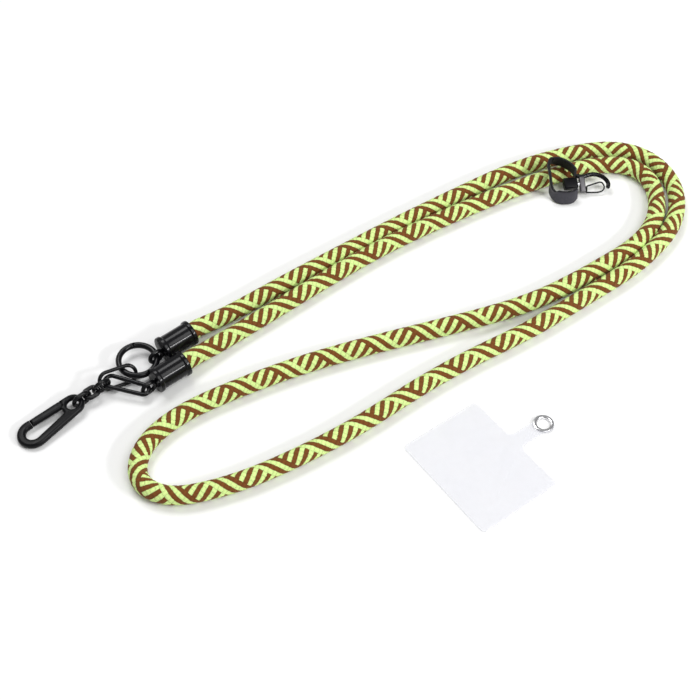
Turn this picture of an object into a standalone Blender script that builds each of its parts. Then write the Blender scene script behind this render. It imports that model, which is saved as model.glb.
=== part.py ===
"""Phone crossbody strap, laid out on a table: a braided rope with end caps, chain hardware, a keeper with
a small hook, and the flat phone tab. Blender 4.5, metres, +Z up. The tables of positions are in millimetres
on the table top, and place() turns them into metres about the object's origin."""

import math

import bmesh
import bpy
import numpy as np
from mathutils import Matrix, Vector

MM = 0.001
OBJECT_NAME = "phone_crossbody_strap"

# The layout is shifted so that the hard pieces are centred on the origin.
CENTRE_SHIFT = (7.0, -10.9)
GAP = 0.3
ARC_STEP = 10.0
CUTTER_HEIGHT = 12.0
CUTTER_SPARE = 2.0
PIN_SIDES = 24

ROPE_DIAMETER = 9.8
ROPE_POINTS = 80
ROPE_RING = 3
ROPE_STRAIGHT = 5.0
ROPE_LIFT = 0.02

# The rope's centre line on the table, from near the upper cap round both bends to near the lower cap.
ROPE_ROUTE = (
    (-65.7, 20.4), (-36.3, 42.4), (-5.5, 65.0), (26.9, 88.2), (60.7, 111.0),
    (96.8, 133.4), (128.0, 146.6), (156.2, 151.6), (176.2, 144.0), (188.3, 121.6), (184.6, 92.0),
    (170.2, 70.0), (153.8, 53.6), (128.8, 34.4), (94.6, 9.9), (63.0, -9.5), (33.4, -30.0),
    (5.6, -51.5), (-22.1, -69.7), (-50.1, -84.6), (-71.7, -92.2), (-88.0, -93.6), (-100.8, -85.7),
    (-101.8, -68.0), (-86.4, -47.5), (-58.5, -30.1), (-23.7, -13.6), (24.6, 3.7), (74.7, 20.3),
    (108.5, 35.6), (142.0, 58.0), (164.4, 77.4), (176.4, 102.8), (172.0, 131.0), (153.0, 138.2),
    (126.0, 131.2), (90.0, 114.3), (55.0, 94.2), (21.6, 72.8), (-9.4, 49.3), (-38.7, 25.2),
    (-66.6, 2.3),
)

CAP_HEIGHT = 6.9
CAP_LENGTH = 18.8
CAP_BODY_RADIUS = 6.2
CAP_RIM_RADIUS = 6.9
CAP_RIM_LENGTH = 2.0
CAP_SOCKET_RADIUS = 5.4
CAP_SOCKET_DEPTH = 1.6
CAP_BEVEL = 0.5
CAP_SIDES = 28
# Each cap on the table: middle of its front, middle of its mouth.
CAPS = {
    "end_cap_upper": ((-97.9, -5.6), (-83.5, 6.7)),
    "end_cap_lower": ((-99.6, -26.1), (-85.7, -14.3)),
}
EYE_WIRE = 2.0
EYE_LENGTH = 9.4
EYE_WIDTH = 8.4
EYE_REACH = 3.9
EYE_DROP = 2.3

LINK_WIRE = 2.0
LINK_STEP = 24.0
WIRE_RING = 1

RING_CENTRE = (-110.1, -11.0, 5.05)
RING_RADIUS = 9.8
RING_WIRE = 3.1
RING_SLOPE = (-0.075, 0.05)
RING_HINGE = 115.0
RING_SLIT = 215.5
RING_KNUCKLE = 1.6
RING_KNUCKLE_HEIGHT = 2.8
RING_STEPS = 34
# The slit is an arc round the hinge, so that the gate's tip clears the body as it swings inwards. Each piece
# of wire starts SLIT_SPARE degrees too long, and the cut reaches SLIT_REACH past the slit.
SLIT_GAP = 0.5
SLIT_SPARE = 15.0
SLIT_REACH = 6.0
SLIT_HALF_ANGLE = 25.0

# Chain links: middle, the way of the long axis, roll about it in degrees, outer length, width at the start
# of the axis and at its end.
LINKS = {
    "long_link_ring": ((-119.1, -22.3, 5.15), (0.86, 0.50, -0.12), 51.5, 21.7, 10.9, 10.9),
    "long_link_cap": ((-113.8, -28.0, 5.65), (0.96, -0.27, -0.05), 5.0, 25.7, 8.7, 7.7),
    "chain_link_1": ((-135.8, -36.1, 4.7), (0.75, 0.66, 0.06), 90.8, 11.0, 8.7, 8.7),
    "chain_link_2": ((-131.4, -32.3, 5.35), (0.77, 0.64, 0.01), 5.0, 9.7, 7.3, 7.3),
    "swivel_collar": ((-126.7, -28.5, 5.5), (0.79, 0.62, 0.01), 103.0, 11.0, 11.0, 11.0),
}

# The carabiner hangs on the chain by its eye, whose middle stays here: the nose end lies on the table and the
# eye end is lifted. Its own frame has X along its middle from the large bend to the eye, Y towards the gate.
CARABINER_EYE = (-139.96, -39.36, 4.31)
CARABINER_HEADING = 43.5
CARABINER_TILT = 4.6
CARABINER_HEIGHT = 3.4
CARABINER_BAR = 4.4
CARABINER_BEND = 8.2
CARABINER_LENGTH = 24.4
CARABINER_EYE_RADIUS = 6.0
CARABINER_HOLE_RADIUS = 3.1
CARABINER_NECK_RADIUS = 1.6
GATE_INSET = 0.2
CARABINER_EDGE = 0.7
CARABINER_KNUCKLE = 2.2
CARABINER_NOSE_X = 2.4
CARABINER_HINGE_SETBACK = 5.4

# The keeper's band: middle of the strip on the table, then the way its width points.
BAND_WIDTH = 8.4
BAND_THICKNESS = 1.6
BAND_STEPS = 27
BAND_STATIONS = (
    ((130.4, 121.4, 14.2), (0.10, -0.55, 0.83)),
    ((129.0, 124.0, 14.6), (0.05, -0.45, 0.89)),
    ((126.6, 127.0, 14.7), (0.00, -0.32, 0.95)),
    ((123.4, 129.6, 14.7), (0.00, -0.32, 0.95)),
    ((119.8, 131.0, 14.7), (0.00, -0.36, 0.93)),
    ((117.0, 130.6, 14.7), (-0.08, -0.50, 0.86)),
    ((115.8, 128.2, 14.6), (-0.14, -0.62, 0.77)),
    ((115.6, 124.6, 13.9), (-0.16, -0.66, 0.73)),
    ((115.8, 120.0, 13.5), (-0.16, -0.62, 0.76)),
    ((116.4, 115.6, 10.0), (-0.12, -0.42, 0.90)),
    ((118.0, 113.2, 5.9), (-0.05, -0.10, 0.99)),
    ((121.0, 111.2, 4.7), (0.00, 0.18, 0.98)),
    ((125.2, 110.6, 4.5), (0.00, 0.26, 0.97)),
    ((129.2, 111.6, 4.6), (0.00, 0.22, 0.98)),
    ((131.6, 114.0, 4.7), (0.00, 0.12, 0.99)),
)

CLAMP_CENTRE = (128.4, 120.4, 6.3)
CLAMP_SIZE = (8.2, 6.6, 4.4)
CLAMP_TURN = (24.0, 0.0, 8.0)
CLAMP_BEVEL = 0.8

HOOK_BLOCK_CENTRE = (135.6, 120.9, 4.9)
HOOK_BLOCK_SIZE = (3.4, 9.2, 3.4)
HOOK_BLOCK_TURN = (26.0, 0.0, 4.0)
HOOK_BLOCK_BEVEL = 0.6
HOOK_WIRE = 2.2
HOOK_ARM_STEPS = 16
HOOK_GATE_STEPS = 24
# The hook's arm: x, y, z along its middle, from the block round to the nose.
HOOK_ARM = (
    (131.6, 125.8, 7.9), (135.6, 125.4, 7.4), (139.2, 126.6, 7.4), (142.8, 127.3, 7.4), (146.4, 126.6, 7.0),
    (149.4, 124.6, 6.2), (150.9, 121.7, 5.1), (150.2, 118.9, 4.1),
)
GATE_WIRE = 0.9
# The wire gate: from its foot in the middle of the block, round its nose end, back to its other foot.
HOOK_GATE = (
    (137.9, 119.3, 5.4), (141.0, 120.5, 5.6), (144.4, 121.9, 5.7), (147.0, 122.5, 5.4),
    (148.4, 121.0, 4.3), (148.2, 119.3, 3.1), (146.4, 118.2, 2.2), (142.6, 117.7, 2.0),
    (137.9, 117.6, 2.0),
)

TAB_CENTRE = (63.6, -73.6)
TAB_SIZE = (47.4, 62.0)
TAB_TURN = 36.5
TAB_THICKNESS = 0.4
TAB_CORNER = 2.5
TAB_NECK_WIDTH = 8.6
TAB_NECK_REACH = 18.2
TAB_NECK_FILLET = 3.0
TAB_HEAD_RADIUS = 5.6
TAB_LIFT = 0.55
EYELET_OUTER = 5.15
EYELET_HOLE = 3.4
EYELET_HEIGHT = 1.5
EYELET_BARREL = 4.0
EYELET_CHAMFER = 0.3
EYELET_GAP = 0.25

COLOURS = {
    # name: base colour, roughness, metallic
    "braid_lime_brown": ((0.45, 0.72, 0.18), 0.85, 0.0),
    "black_gloss_metal": ((0.012, 0.012, 0.014), 0.25, 0.6),
    "black_satin_metal": ((0.015, 0.015, 0.016), 0.45, 0.6),
    "band_rubber": ((0.045, 0.045, 0.055), 0.6, 0.0),
    "gunmetal": ((0.10, 0.10, 0.11), 0.35, 0.8),
    "clear_film": ((0.93, 0.93, 0.95), 0.25, 0.0),
    "bright_steel": ((0.75, 0.75, 0.77), 0.2, 1.0),
}


def place(x, y, z=0.0):
    """A point of the layout, in millimetres, as metres about the object's origin."""
    return Vector(((x + CENTRE_SHIFT[0]) * MM, (y + CENTRE_SHIFT[1]) * MM, z * MM))


def clear_scene():
    for obj in list(bpy.data.objects):
        bpy.data.objects.remove(obj, do_unlink=True)


def new_collection(name, hidden=False):
    collection = bpy.data.collections.new(name)
    collection.hide_render = hidden
    bpy.context.scene.collection.children.link(collection)
    return collection


def material(name):
    found = bpy.data.materials.get(name)
    if found:
        return found
    colour, roughness, metallic = COLOURS[name]
    made = bpy.data.materials.new(name)
    made.use_nodes = True
    shader = made.node_tree.nodes["Principled BSDF"]
    shader.inputs["Base Color"].default_value = (*colour, 1.0)
    shader.inputs["Roughness"].default_value = roughness
    shader.inputs["Metallic"].default_value = metallic
    return made


def add_object(name, data, collection, material_name=None):
    obj = bpy.data.objects.new(name, data)
    collection.objects.link(obj)
    if material_name:
        data.materials.append(material(material_name))
    return obj


def shade_round(obj, angle=40.0):
    obj.data.shade_smooth()
    obj.data.set_sharp_from_angle(angle=math.radians(angle))


def smooth_path(points, count):
    """Rows evenly spaced along a smooth curve through the given ones (a natural cubic spline). The first
    three columns are the position; any others are carried along with it."""
    given = np.array(points, float)
    chord = np.sqrt(np.linalg.norm(np.diff(given[:, :3], axis=0), axis=1))
    knots = np.concatenate([[0.0], np.cumsum(chord)])
    step = np.diff(knots)
    size = len(given)
    system = np.zeros((size, size))
    right = np.zeros_like(given)
    system[0, 0] = 1.0
    system[-1, -1] = 1.0
    for i in range(1, size - 1):
        system[i, i - 1 : i + 2] = step[i - 1], 2.0 * (step[i - 1] + step[i]), step[i]
        slope_after = (given[i + 1] - given[i]) / step[i]
        slope_before = (given[i] - given[i - 1]) / step[i - 1]
        right[i] = 6.0 * (slope_after - slope_before)
    second = np.linalg.solve(system, right)
    fine = np.linspace(0.0, knots[-1], 40 * size)
    cell = np.clip(np.searchsorted(knots, fine) - 1, 0, size - 2)
    width = step[cell][:, None]
    after = (fine - knots[cell])[:, None]
    before = width - after
    curve = (
        second[cell] * before**3 / (6.0 * width)
        + second[cell + 1] * after**3 / (6.0 * width)
        + (given[cell] / width - second[cell] * width / 6.0) * before
        + (given[cell + 1] / width - second[cell + 1] * width / 6.0) * after
    )
    along = np.concatenate([[0.0], np.cumsum(np.linalg.norm(np.diff(curve[:, :3], axis=0), axis=1))])
    wanted = np.linspace(0.0, along[-1], count)
    return np.stack([np.interp(wanted, along, column) for column in curve.T], axis=1)


def wire_curve(name, points, diameter, collection, material_name=None, cyclic=False, ring=WIRE_RING):
    """A round wire along points given in metres."""
    curve = bpy.data.curves.new(name, "CURVE")
    curve.dimensions = "3D"
    curve.bevel_depth = diameter * MM / 2.0
    curve.bevel_resolution = ring
    curve.use_fill_caps = not cyclic
    spline = curve.splines.new("POLY")
    spline.points.add(len(points) - 1)
    for point, position in zip(spline.points, points):
        point.co = (*position, 1.0)
    spline.use_cyclic_u = cyclic
    spline.use_smooth = True
    return add_object(name, curve, collection, material_name)


def as_mesh(obj, collection):
    """The same shape as a mesh object with welded caps."""
    graph = bpy.context.evaluated_depsgraph_get()
    mesh = bpy.data.meshes.new_from_object(obj.evaluated_get(graph))
    work = bmesh.new()
    work.from_mesh(mesh)
    bmesh.ops.remove_doubles(work, verts=work.verts, dist=0.01 * MM)
    bmesh.ops.recalc_face_normals(work, faces=work.faces)
    work.to_mesh(mesh)
    work.free()
    name = obj.name
    place_of = obj.matrix_world.copy()
    bpy.data.objects.remove(obj, do_unlink=True)
    made = bpy.data.objects.new(name, mesh)
    made.matrix_world = place_of
    collection.objects.link(made)
    return made


def boolean(obj, other, operation):
    step = obj.modifiers.new(f"{operation.lower()} {other.name}", "BOOLEAN")
    step.operation = operation
    step.solver = "EXACT"
    step.object = other
    other.hide_render = True
    other.display_type = "WIRE"


def turn(obj, sides):
    """Turns a section in the object's XZ plane round its Z axis."""
    turned = obj.modifiers.new("turned", "SCREW")
    turned.angle = math.tau
    turned.steps = sides
    turned.render_steps = sides
    turned.use_merge_vertices = True
    turned.merge_threshold = 0.01 * MM
    turned.use_smooth_shade = True


def cylinder(name, radius, height, matrix, collection):
    mesh = bpy.data.meshes.new(name)
    work = bmesh.new()
    bmesh.ops.create_cone(
        work, cap_ends=True, segments=PIN_SIDES, radius1=radius * MM, radius2=radius * MM, depth=height * MM
    )
    work.to_mesh(mesh)
    work.free()
    obj = add_object(name, mesh, collection)
    obj.matrix_world = matrix
    return obj


def block(name, centre, size, turn, bevel, collection, material_name):
    mesh = bpy.data.meshes.new(name)
    work = bmesh.new()
    bmesh.ops.create_cube(work, size=1.0)
    bmesh.ops.scale(work, vec=Vector(size) * MM, verts=work.verts)
    work.to_mesh(mesh)
    work.free()
    obj = add_object(name, mesh, collection, material_name)
    obj.location = place(*centre)
    obj.rotation_euler = [math.radians(angle) for angle in turn]
    rounding = obj.modifiers.new("rounded edges", "BEVEL")
    rounding.width = bevel * MM
    rounding.segments = 2
    rounding.limit_method = "NONE"
    return obj


def arc(centre, radius, first, last, step=ARC_STEP):
    """Points on an arc in the plane, from one angle in degrees to another."""
    count = max(2, round(abs(last - first) / step) + 1)
    angles = np.radians(np.linspace(first, last, count))
    return [(centre[0] + radius * math.cos(a), centre[1] + radius * math.sin(a)) for a in angles]


def circle(centre, radius, step=ARC_STEP):
    """Points round a whole circle, each once."""
    return arc(centre, radius, 0.0, 360.0, step)[:-1]


def oval(length, start_width, end_width, wire):
    """The centre line of a closed link along X, in millimetres, from its outer sizes."""
    start = (start_width - wire) / 2.0
    end = (end_width - wire) / 2.0
    half = (length - wire) / 2.0
    if length == start_width == end_width:
        outline = circle((0.0, 0.0), half, LINK_STEP)
    else:
        outline = arc((start - half, 0.0), start, 90.0, 270.0, LINK_STEP)
        outline += arc((half - end, 0.0), end, -90.0, 90.0, LINK_STEP)
    return [(x, y, 0.0) for x, y in outline]


def link_frame(centre, along, roll):
    """The matrix of a link whose own X is its long axis, turned about it by roll degrees."""
    x_axis = Vector(along).normalized()
    side = Vector((0.0, 0.0, 1.0)).cross(x_axis).normalized()
    up = x_axis.cross(side)
    turned = Matrix.Rotation(math.radians(roll), 3, x_axis)
    frame = Matrix((x_axis, turned @ side, turned @ up)).transposed().to_4x4()
    frame.translation = place(*centre)
    return frame


def build_rope(parts):
    """The braided rope as a plain tube. Each end runs straight out of its cap, face to face with the
    socket's floor, and then comes down to the table."""
    ends = []
    for front, mouth in (CAPS["end_cap_upper"], CAPS["end_cap_lower"]):
        away = Vector((mouth[0] - front[0], mouth[1] - front[1], 0.0)).normalized()
        middle = Vector((*front, CAP_HEIGHT)) + away * CAP_LENGTH
        ends.append((tuple(middle - away * (CAP_SOCKET_DEPTH - GAP)), tuple(middle + away * ROPE_STRAIGHT)))
    lying = [(x, y, ROPE_DIAMETER / 2.0 + ROPE_LIFT) for x, y in ROPE_ROUTE]
    route = smooth_path([ends[0][1], *lying, ends[1][1]], ROPE_POINTS - 2)
    points = [place(*point) for point in (ends[0][0], *route, ends[1][0])]
    wire_curve("rope", points, ROPE_DIAMETER, parts, "braid_lime_brown", ring=ROPE_RING)


def cap_profile():
    """Half the cap's section, from the socket's floor over the rims and down to the front."""
    step = CAP_RIM_LENGTH
    outer = CAP_RIM_RADIUS
    body = CAP_BODY_RADIUS
    half = CAP_BEVEL
    top = CAP_LENGTH
    return (
        (0.0, top - CAP_SOCKET_DEPTH),
        (CAP_SOCKET_RADIUS, top - CAP_SOCKET_DEPTH),
        (CAP_SOCKET_RADIUS, top),
        (outer - half, top),
        (outer, top - half),
        (outer, top - step + half),
        (body, top - step),
        (body, step),
        (outer, step - half),
        (outer, half),
        (outer - half, 0.0),
        (0.0, 0.0),
    )


def build_caps(parts, cutters):
    for name, (front, mouth) in CAPS.items():
        mesh = bpy.data.meshes.new(name)
        profile = cap_profile()
        edges = [(i, i + 1) for i in range(len(profile) - 1)]
        mesh.from_pydata([(radius * MM, 0.0, height * MM) for radius, height in profile], edges, [])
        cap = add_object(name, mesh, parts, "black_gloss_metal")
        axis = Vector((mouth[0] - front[0], mouth[1] - front[1], 0.0)).normalized()
        frame = axis.to_track_quat("Z", "Y").to_matrix().to_4x4()
        frame.translation = place(*front, CAP_HEIGHT)
        cap.matrix_world = frame
        turn(cap, CAP_SIDES)
        centre = Vector((*front, CAP_HEIGHT - EYE_DROP)) - axis * EYE_REACH
        eye_frame = link_frame(centre, axis, 90.0)
        path = [eye_frame @ (Vector(p) * MM) for p in oval(EYE_LENGTH, EYE_WIDTH, EYE_WIDTH, EYE_WIRE)]
        eye = wire_curve(f"{name}_eye", path, EYE_WIRE, cutters, cyclic=True, ring=2)
        boolean(cap, as_mesh(eye, cutters), "UNION")


def ring_frame():
    normal = Vector((-RING_SLOPE[0], -RING_SLOPE[1], 1.0)).normalized()
    x_axis = Vector((1.0, 0.0, RING_SLOPE[0])).normalized()
    y_axis = normal.cross(x_axis)
    frame = Matrix((x_axis, y_axis, normal)).transposed().to_4x4()
    frame.translation = place(*RING_CENTRE)
    return frame


def ring_point(degrees):
    angle = math.radians(degrees)
    return Vector((RING_RADIUS * math.cos(angle), RING_RADIUS * math.sin(angle), 0.0)) * MM


def slit_cutter(name, first_radius, last_radius, hinge, collection):
    """A curved block round the hinge, between two radii, that covers the ring's slit."""
    middle = (RING_HINGE + RING_SLIT) / 2.0 + 90.0
    first = middle - SLIT_HALF_ANGLE
    last = middle + SLIT_HALF_ANGLE
    outline = arc((0.0, 0.0), last_radius, first, last) + arc((0.0, 0.0), first_radius, last, first)
    cutter = as_mesh(flat_plate(name, [outline], CUTTER_HEIGHT, collection), collection)
    cutter.matrix_world = hinge
    return cutter


def build_gate_ring(parts, cutters):
    """The round ring: a fixed body and a gate that swings inwards on a knuckle."""
    frame = ring_frame()
    hinge = frame @ Matrix.Translation(ring_point(RING_HINGE))
    slit_radius = (ring_point(RING_SLIT) - ring_point(RING_HINGE)).length / MM

    body_angles = np.linspace(RING_SLIT - SLIT_SPARE - 360.0, RING_HINGE, RING_STEPS)
    body = wire_curve(
        "gate_ring_body", [frame @ ring_point(a) for a in body_angles], RING_WIRE, cutters, ring=2
    )
    body = as_mesh(body, parts)
    body.data.materials.append(material("black_gloss_metal"))
    socket = cylinder("ring_socket", RING_KNUCKLE + GAP, CUTTER_HEIGHT, hinge, cutters)
    boolean(body, socket, "DIFFERENCE")
    body_cut = slit_cutter("body_slit", slit_radius - SLIT_REACH, slit_radius + SLIT_GAP, hinge, cutters)
    boolean(body, body_cut, "DIFFERENCE")

    gate_angles = np.linspace(RING_HINGE, RING_SLIT + SLIT_SPARE, RING_STEPS // 3)
    local = hinge.inverted()
    gate = wire_curve(
        "gate_ring_gate", [local @ frame @ ring_point(a) for a in gate_angles], RING_WIRE, cutters, ring=2
    )
    gate = as_mesh(gate, parts)
    gate.data.materials.append(material("black_gloss_metal"))
    gate.matrix_world = hinge
    gate_cut = slit_cutter("gate_slit", slit_radius, slit_radius + SLIT_REACH, hinge, cutters)
    boolean(gate, gate_cut, "DIFFERENCE")
    knuckle = cylinder("ring_knuckle", RING_KNUCKLE, RING_KNUCKLE_HEIGHT, hinge, cutters)
    boolean(gate, knuckle, "UNION")


def build_links(parts):
    """The long links, the chain's small links and the collar that joins them."""
    for name, (centre, along, roll, length, start_width, end_width) in LINKS.items():
        frame = link_frame(centre, along, roll)
        path = [frame @ (Vector(p) * MM) for p in oval(length, start_width, end_width, LINK_WIRE)]
        wire_curve(name, path, LINK_WIRE, parts, "black_gloss_metal", cyclic=True)


def carabiner_frame():
    eye = Matrix.Translation(place(*CARABINER_EYE))
    heading = Matrix.Rotation(math.radians(CARABINER_HEADING), 4, "Z")
    tilt = Matrix.Rotation(math.radians(-CARABINER_TILT), 4, "Y")
    return eye @ heading @ tilt @ Matrix.Translation((-CARABINER_LENGTH * MM, 0.0, 0.0))


def flat_plate(name, outlines, height, collection, bevel=0.0):
    """A flat plate from closed outlines in millimetres: the first is its edge, the rest are holes."""
    curve = bpy.data.curves.new(name, "CURVE")
    curve.dimensions = "2D"
    curve.fill_mode = "BOTH"
    curve.extrude = (height / 2.0 - bevel) * MM
    curve.bevel_depth = bevel * MM
    curve.bevel_resolution = 0
    curve.offset = -bevel * MM
    for outline in outlines:
        spline = curve.splines.new("POLY")
        spline.points.add(len(outline) - 1)
        for point, (x, y) in zip(spline.points, outline):
            point.co = (x * MM, y * MM, 0.0, 1.0)
        spline.use_cyclic_u = True
    return add_object(name, curve, collection)


def carabiner_outlines():
    """The pear outline, its window and its eye: tangent lines join each outline's two bends."""
    slope = math.degrees(math.asin((CARABINER_BEND - CARABINER_EYE_RADIUS) / CARABINER_LENGTH))
    outer = arc((0.0, 0.0), CARABINER_BEND, 90.0 - slope, 270.0 + slope)
    outer += arc((CARABINER_LENGTH, 0.0), CARABINER_EYE_RADIUS, -90.0 + slope, 90.0 - slope)
    inner_bend = CARABINER_BEND - CARABINER_BAR
    neck = CARABINER_NECK_RADIUS
    neck_x = CARABINER_LENGTH - CARABINER_EYE_RADIUS - neck
    inner_slope = math.degrees(math.asin((inner_bend - neck) / neck_x))
    window = arc((0.0, 0.0), inner_bend, 90.0 - inner_slope, 270.0 + inner_slope)
    window += arc((neck_x, 0.0), neck, -90.0 + inner_slope, 90.0 - inner_slope)
    return outer, window, circle((CARABINER_LENGTH, 0.0), CARABINER_HOLE_RADIUS)


def gate_bar(x):
    """How far the middle of the gate bar is from the carabiner's own middle, at x along it."""
    slope = (CARABINER_BEND - CARABINER_EYE_RADIUS) / CARABINER_LENGTH
    return CARABINER_BEND - slope * x - CARABINER_BAR / 2.0


def build_carabiner(parts, cutters):
    """The large snap hook: a flat pear frame and a gate bar that swings inwards."""
    frame = carabiner_frame()
    outer, window, hole = carabiner_outlines()
    body = flat_plate("carabiner_body", [outer, window, hole], CARABINER_HEIGHT, cutters, CARABINER_EDGE)
    body = as_mesh(body, parts)
    body.data.materials.append(material("black_satin_metal"))
    body.matrix_world = frame

    nose = Vector((CARABINER_NOSE_X, gate_bar(CARABINER_NOSE_X), 0.0))
    hinge_x = CARABINER_LENGTH - CARABINER_HINGE_SETBACK
    pivot = Vector((hinge_x, gate_bar(hinge_x), 0.0))
    run = (pivot - nose).normalized()
    side = Vector((-run.y, run.x, 0.0))
    half = CARABINER_BAR / 2.0

    wide = half + CUTTER_SPARE
    opening = [nose + side * wide, nose - side * wide, pivot - side * wide, pivot + side * wide]
    slot = flat_plate("gate_slot", [[(p.x, p.y) for p in opening]], CUTTER_HEIGHT, cutters)
    slot = as_mesh(slot, cutters)
    slot.matrix_world = frame
    boolean(body, slot, "DIFFERENCE")
    hinge = frame @ Matrix.Translation(pivot * MM)
    socket = cylinder("carabiner_socket", CARABINER_KNUCKLE + GAP, CUTTER_HEIGHT, hinge, cutters)
    boolean(body, socket, "DIFFERENCE")

    angle = math.degrees(math.atan2(run.y, run.x))
    tip = nose + run * GAP - pivot
    reach = side * (half - GATE_INSET)
    gate_edge = [(tip.x + reach.x, tip.y + reach.y), (tip.x - reach.x, tip.y - reach.y)]
    gate_edge += arc((0.0, 0.0), CARABINER_KNUCKLE, angle - 90.0, angle + 90.0)
    height = CARABINER_HEIGHT - 2.0 * GATE_INSET
    gate = flat_plate("carabiner_gate", [gate_edge], height, cutters, CARABINER_EDGE)
    gate = as_mesh(gate, parts)
    gate.data.materials.append(material("black_satin_metal"))
    gate.matrix_world = hinge


def build_band(parts):
    """The keeper's band: a strip lofted through its stations, thick all round."""
    mesh = bpy.data.meshes.new("keeper_band")
    work = bmesh.new()
    stations = smooth_path([middle + way for middle, way in BAND_STATIONS], BAND_STEPS)
    path = stations[:, :3]
    rows = []
    for i, middle in enumerate(path):
        tangent = Vector(path[min(i + 1, len(path) - 1)] - path[max(i - 1, 0)]).normalized()
        width = Vector(stations[i, 3:])
        width = (width - tangent * width.dot(tangent)).normalized()
        normal = tangent.cross(width)
        corners = []
        for across, through in ((-1, -1), (1, -1), (1, 1), (-1, 1)):
            offset = width * across * BAND_WIDTH / 2.0 + normal * through * BAND_THICKNESS / 2.0
            corners.append(work.verts.new(place(*(Vector(middle) + offset))))
        rows.append(corners)
    for first, second in zip(rows, rows[1:]):
        for k in range(4):
            work.faces.new((first[k], first[(k + 1) % 4], second[(k + 1) % 4], second[k]))
    work.faces.new(rows[0][::-1])
    work.faces.new(rows[-1])
    bmesh.ops.recalc_face_normals(work, faces=work.faces)
    work.to_mesh(mesh)
    work.free()
    band = add_object("keeper_band", mesh, parts, "band_rubber")
    shade_round(band)


def build_keeper(parts, cutters):
    """The clamp that closes the band, the small hook on it and the hook's wire gate."""
    build_band(parts)
    block("keeper_clamp", CLAMP_CENTRE, CLAMP_SIZE, CLAMP_TURN, CLAMP_BEVEL, parts, "black_satin_metal")
    shape = (HOOK_BLOCK_CENTRE, HOOK_BLOCK_SIZE, HOOK_BLOCK_TURN, HOOK_BLOCK_BEVEL)
    hook = block("keeper_hook", *shape, parts, "gunmetal")
    arm_points = [place(*p) for p in smooth_path(HOOK_ARM, HOOK_ARM_STEPS)]
    arm = wire_curve("hook_arm", arm_points, HOOK_WIRE, cutters, ring=2)
    boolean(hook, as_mesh(arm, cutters), "UNION")

    foot = place(*HOOK_GATE[0])
    axis = (place(*HOOK_GATE[-1]) - foot).normalized()
    hinge = axis.to_track_quat("Z", "X").to_matrix().to_4x4()
    hinge.translation = foot
    local = hinge.inverted()
    gate_points = [local @ place(*p) for p in smooth_path(HOOK_GATE, HOOK_GATE_STEPS)]
    gate = wire_curve("keeper_hook_gate", gate_points, GATE_WIRE, parts, "black_gloss_metal")
    gate.matrix_world = hinge


def rounded_box(size, corner):
    """The outline of a box with round corners about the origin."""
    half_x = size[0] / 2.0 - corner
    half_y = size[1] / 2.0 - corner
    outline = []
    corners = ((half_x, half_y), (-half_x, half_y), (-half_x, -half_y), (half_x, -half_y))
    for quarter, middle in enumerate(corners):
        outline += arc(middle, corner, 90.0 * quarter, 90.0 * quarter + 90.0)
    return outline


def tab_outline():
    """The card with a filleted neck in the middle of its long side that ends in a round head."""
    box = rounded_box(TAB_SIZE, TAB_CORNER)
    half_neck = TAB_NECK_WIDTH / 2.0
    edge = TAB_SIZE[0] / 2.0
    fillet_x = edge + TAB_NECK_FILLET
    fillet_y = half_neck + TAB_NECK_FILLET
    head_x = edge + TAB_NECK_REACH
    meet = math.degrees(math.asin(half_neck / TAB_HEAD_RADIUS))
    head = arc((head_x, 0.0), TAB_HEAD_RADIUS, -180.0 + meet, 180.0 - meet)
    neck = arc((fillet_x, -fillet_y), TAB_NECK_FILLET, 180.0, 90.0) + head
    neck += arc((fillet_x, fillet_y), TAB_NECK_FILLET, -90.0, -180.0)
    last_corner = len(box) // 4
    return box[-last_corner:] + neck + box[:-last_corner], (head_x, 0.0)


def eyelet_profile():
    """The eyelet's closed section: a flange, the barrel through the tab, and the same flange below."""
    half = EYELET_HEIGHT / 2.0
    upper = [
        (EYELET_HOLE, half - EYELET_CHAMFER),
        (EYELET_HOLE + EYELET_CHAMFER, half),
        (EYELET_OUTER - EYELET_CHAMFER, half - EYELET_CHAMFER / 2.0),
        (EYELET_OUTER, half - EYELET_CHAMFER),
        (EYELET_BARREL, TAB_THICKNESS / 2.0 + EYELET_GAP),
    ]
    return upper + [(radius, -height) for radius, height in reversed(upper)]


def build_tab(parts):
    """The flat phone tab and the metal eyelet in its head, both lying on the table."""
    outline, head = tab_outline()
    hole = circle(head, EYELET_BARREL + GAP)
    frame = Matrix.Translation(place(*TAB_CENTRE)) @ Matrix.Rotation(math.radians(TAB_TURN), 4, "Z")
    tab = flat_plate("phone_tab", [outline, hole], TAB_THICKNESS, parts)
    tab.data.materials.append(material("clear_film"))
    tab.matrix_world = Matrix.Translation((0.0, 0.0, (TAB_LIFT + TAB_THICKNESS / 2.0) * MM)) @ frame

    mesh = bpy.data.meshes.new("tab_eyelet")
    profile = eyelet_profile()
    edges = [(i, (i + 1) % len(profile)) for i in range(len(profile))]
    mesh.from_pydata([(radius * MM, 0.0, height * MM) for radius, height in profile], edges, [])
    eyelet = add_object("tab_eyelet", mesh, parts, "bright_steel")
    eyelet.matrix_world = frame @ Matrix.Translation(Vector((*head, EYELET_HEIGHT / 2.0)) * MM)
    turn(eyelet, CAP_SIDES)


def main():
    clear_scene()
    parts = new_collection(OBJECT_NAME)
    cutters = new_collection("cutters", hidden=True)
    build_rope(parts)
    build_caps(parts, cutters)
    build_gate_ring(parts, cutters)
    build_links(parts)
    build_carabiner(parts, cutters)
    build_keeper(parts, cutters)
    build_tab(parts)


main()
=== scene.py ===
"""Phone crossbody strap: the braid, lacquered metal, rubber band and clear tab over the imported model, with a
pale table, soft studio light and a camera. Tables are in millimetres on the table top; place() makes them
metres about the object's origin."""

import math

import bmesh
import bpy
import numpy as np
from mathutils import Matrix, Vector


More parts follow.
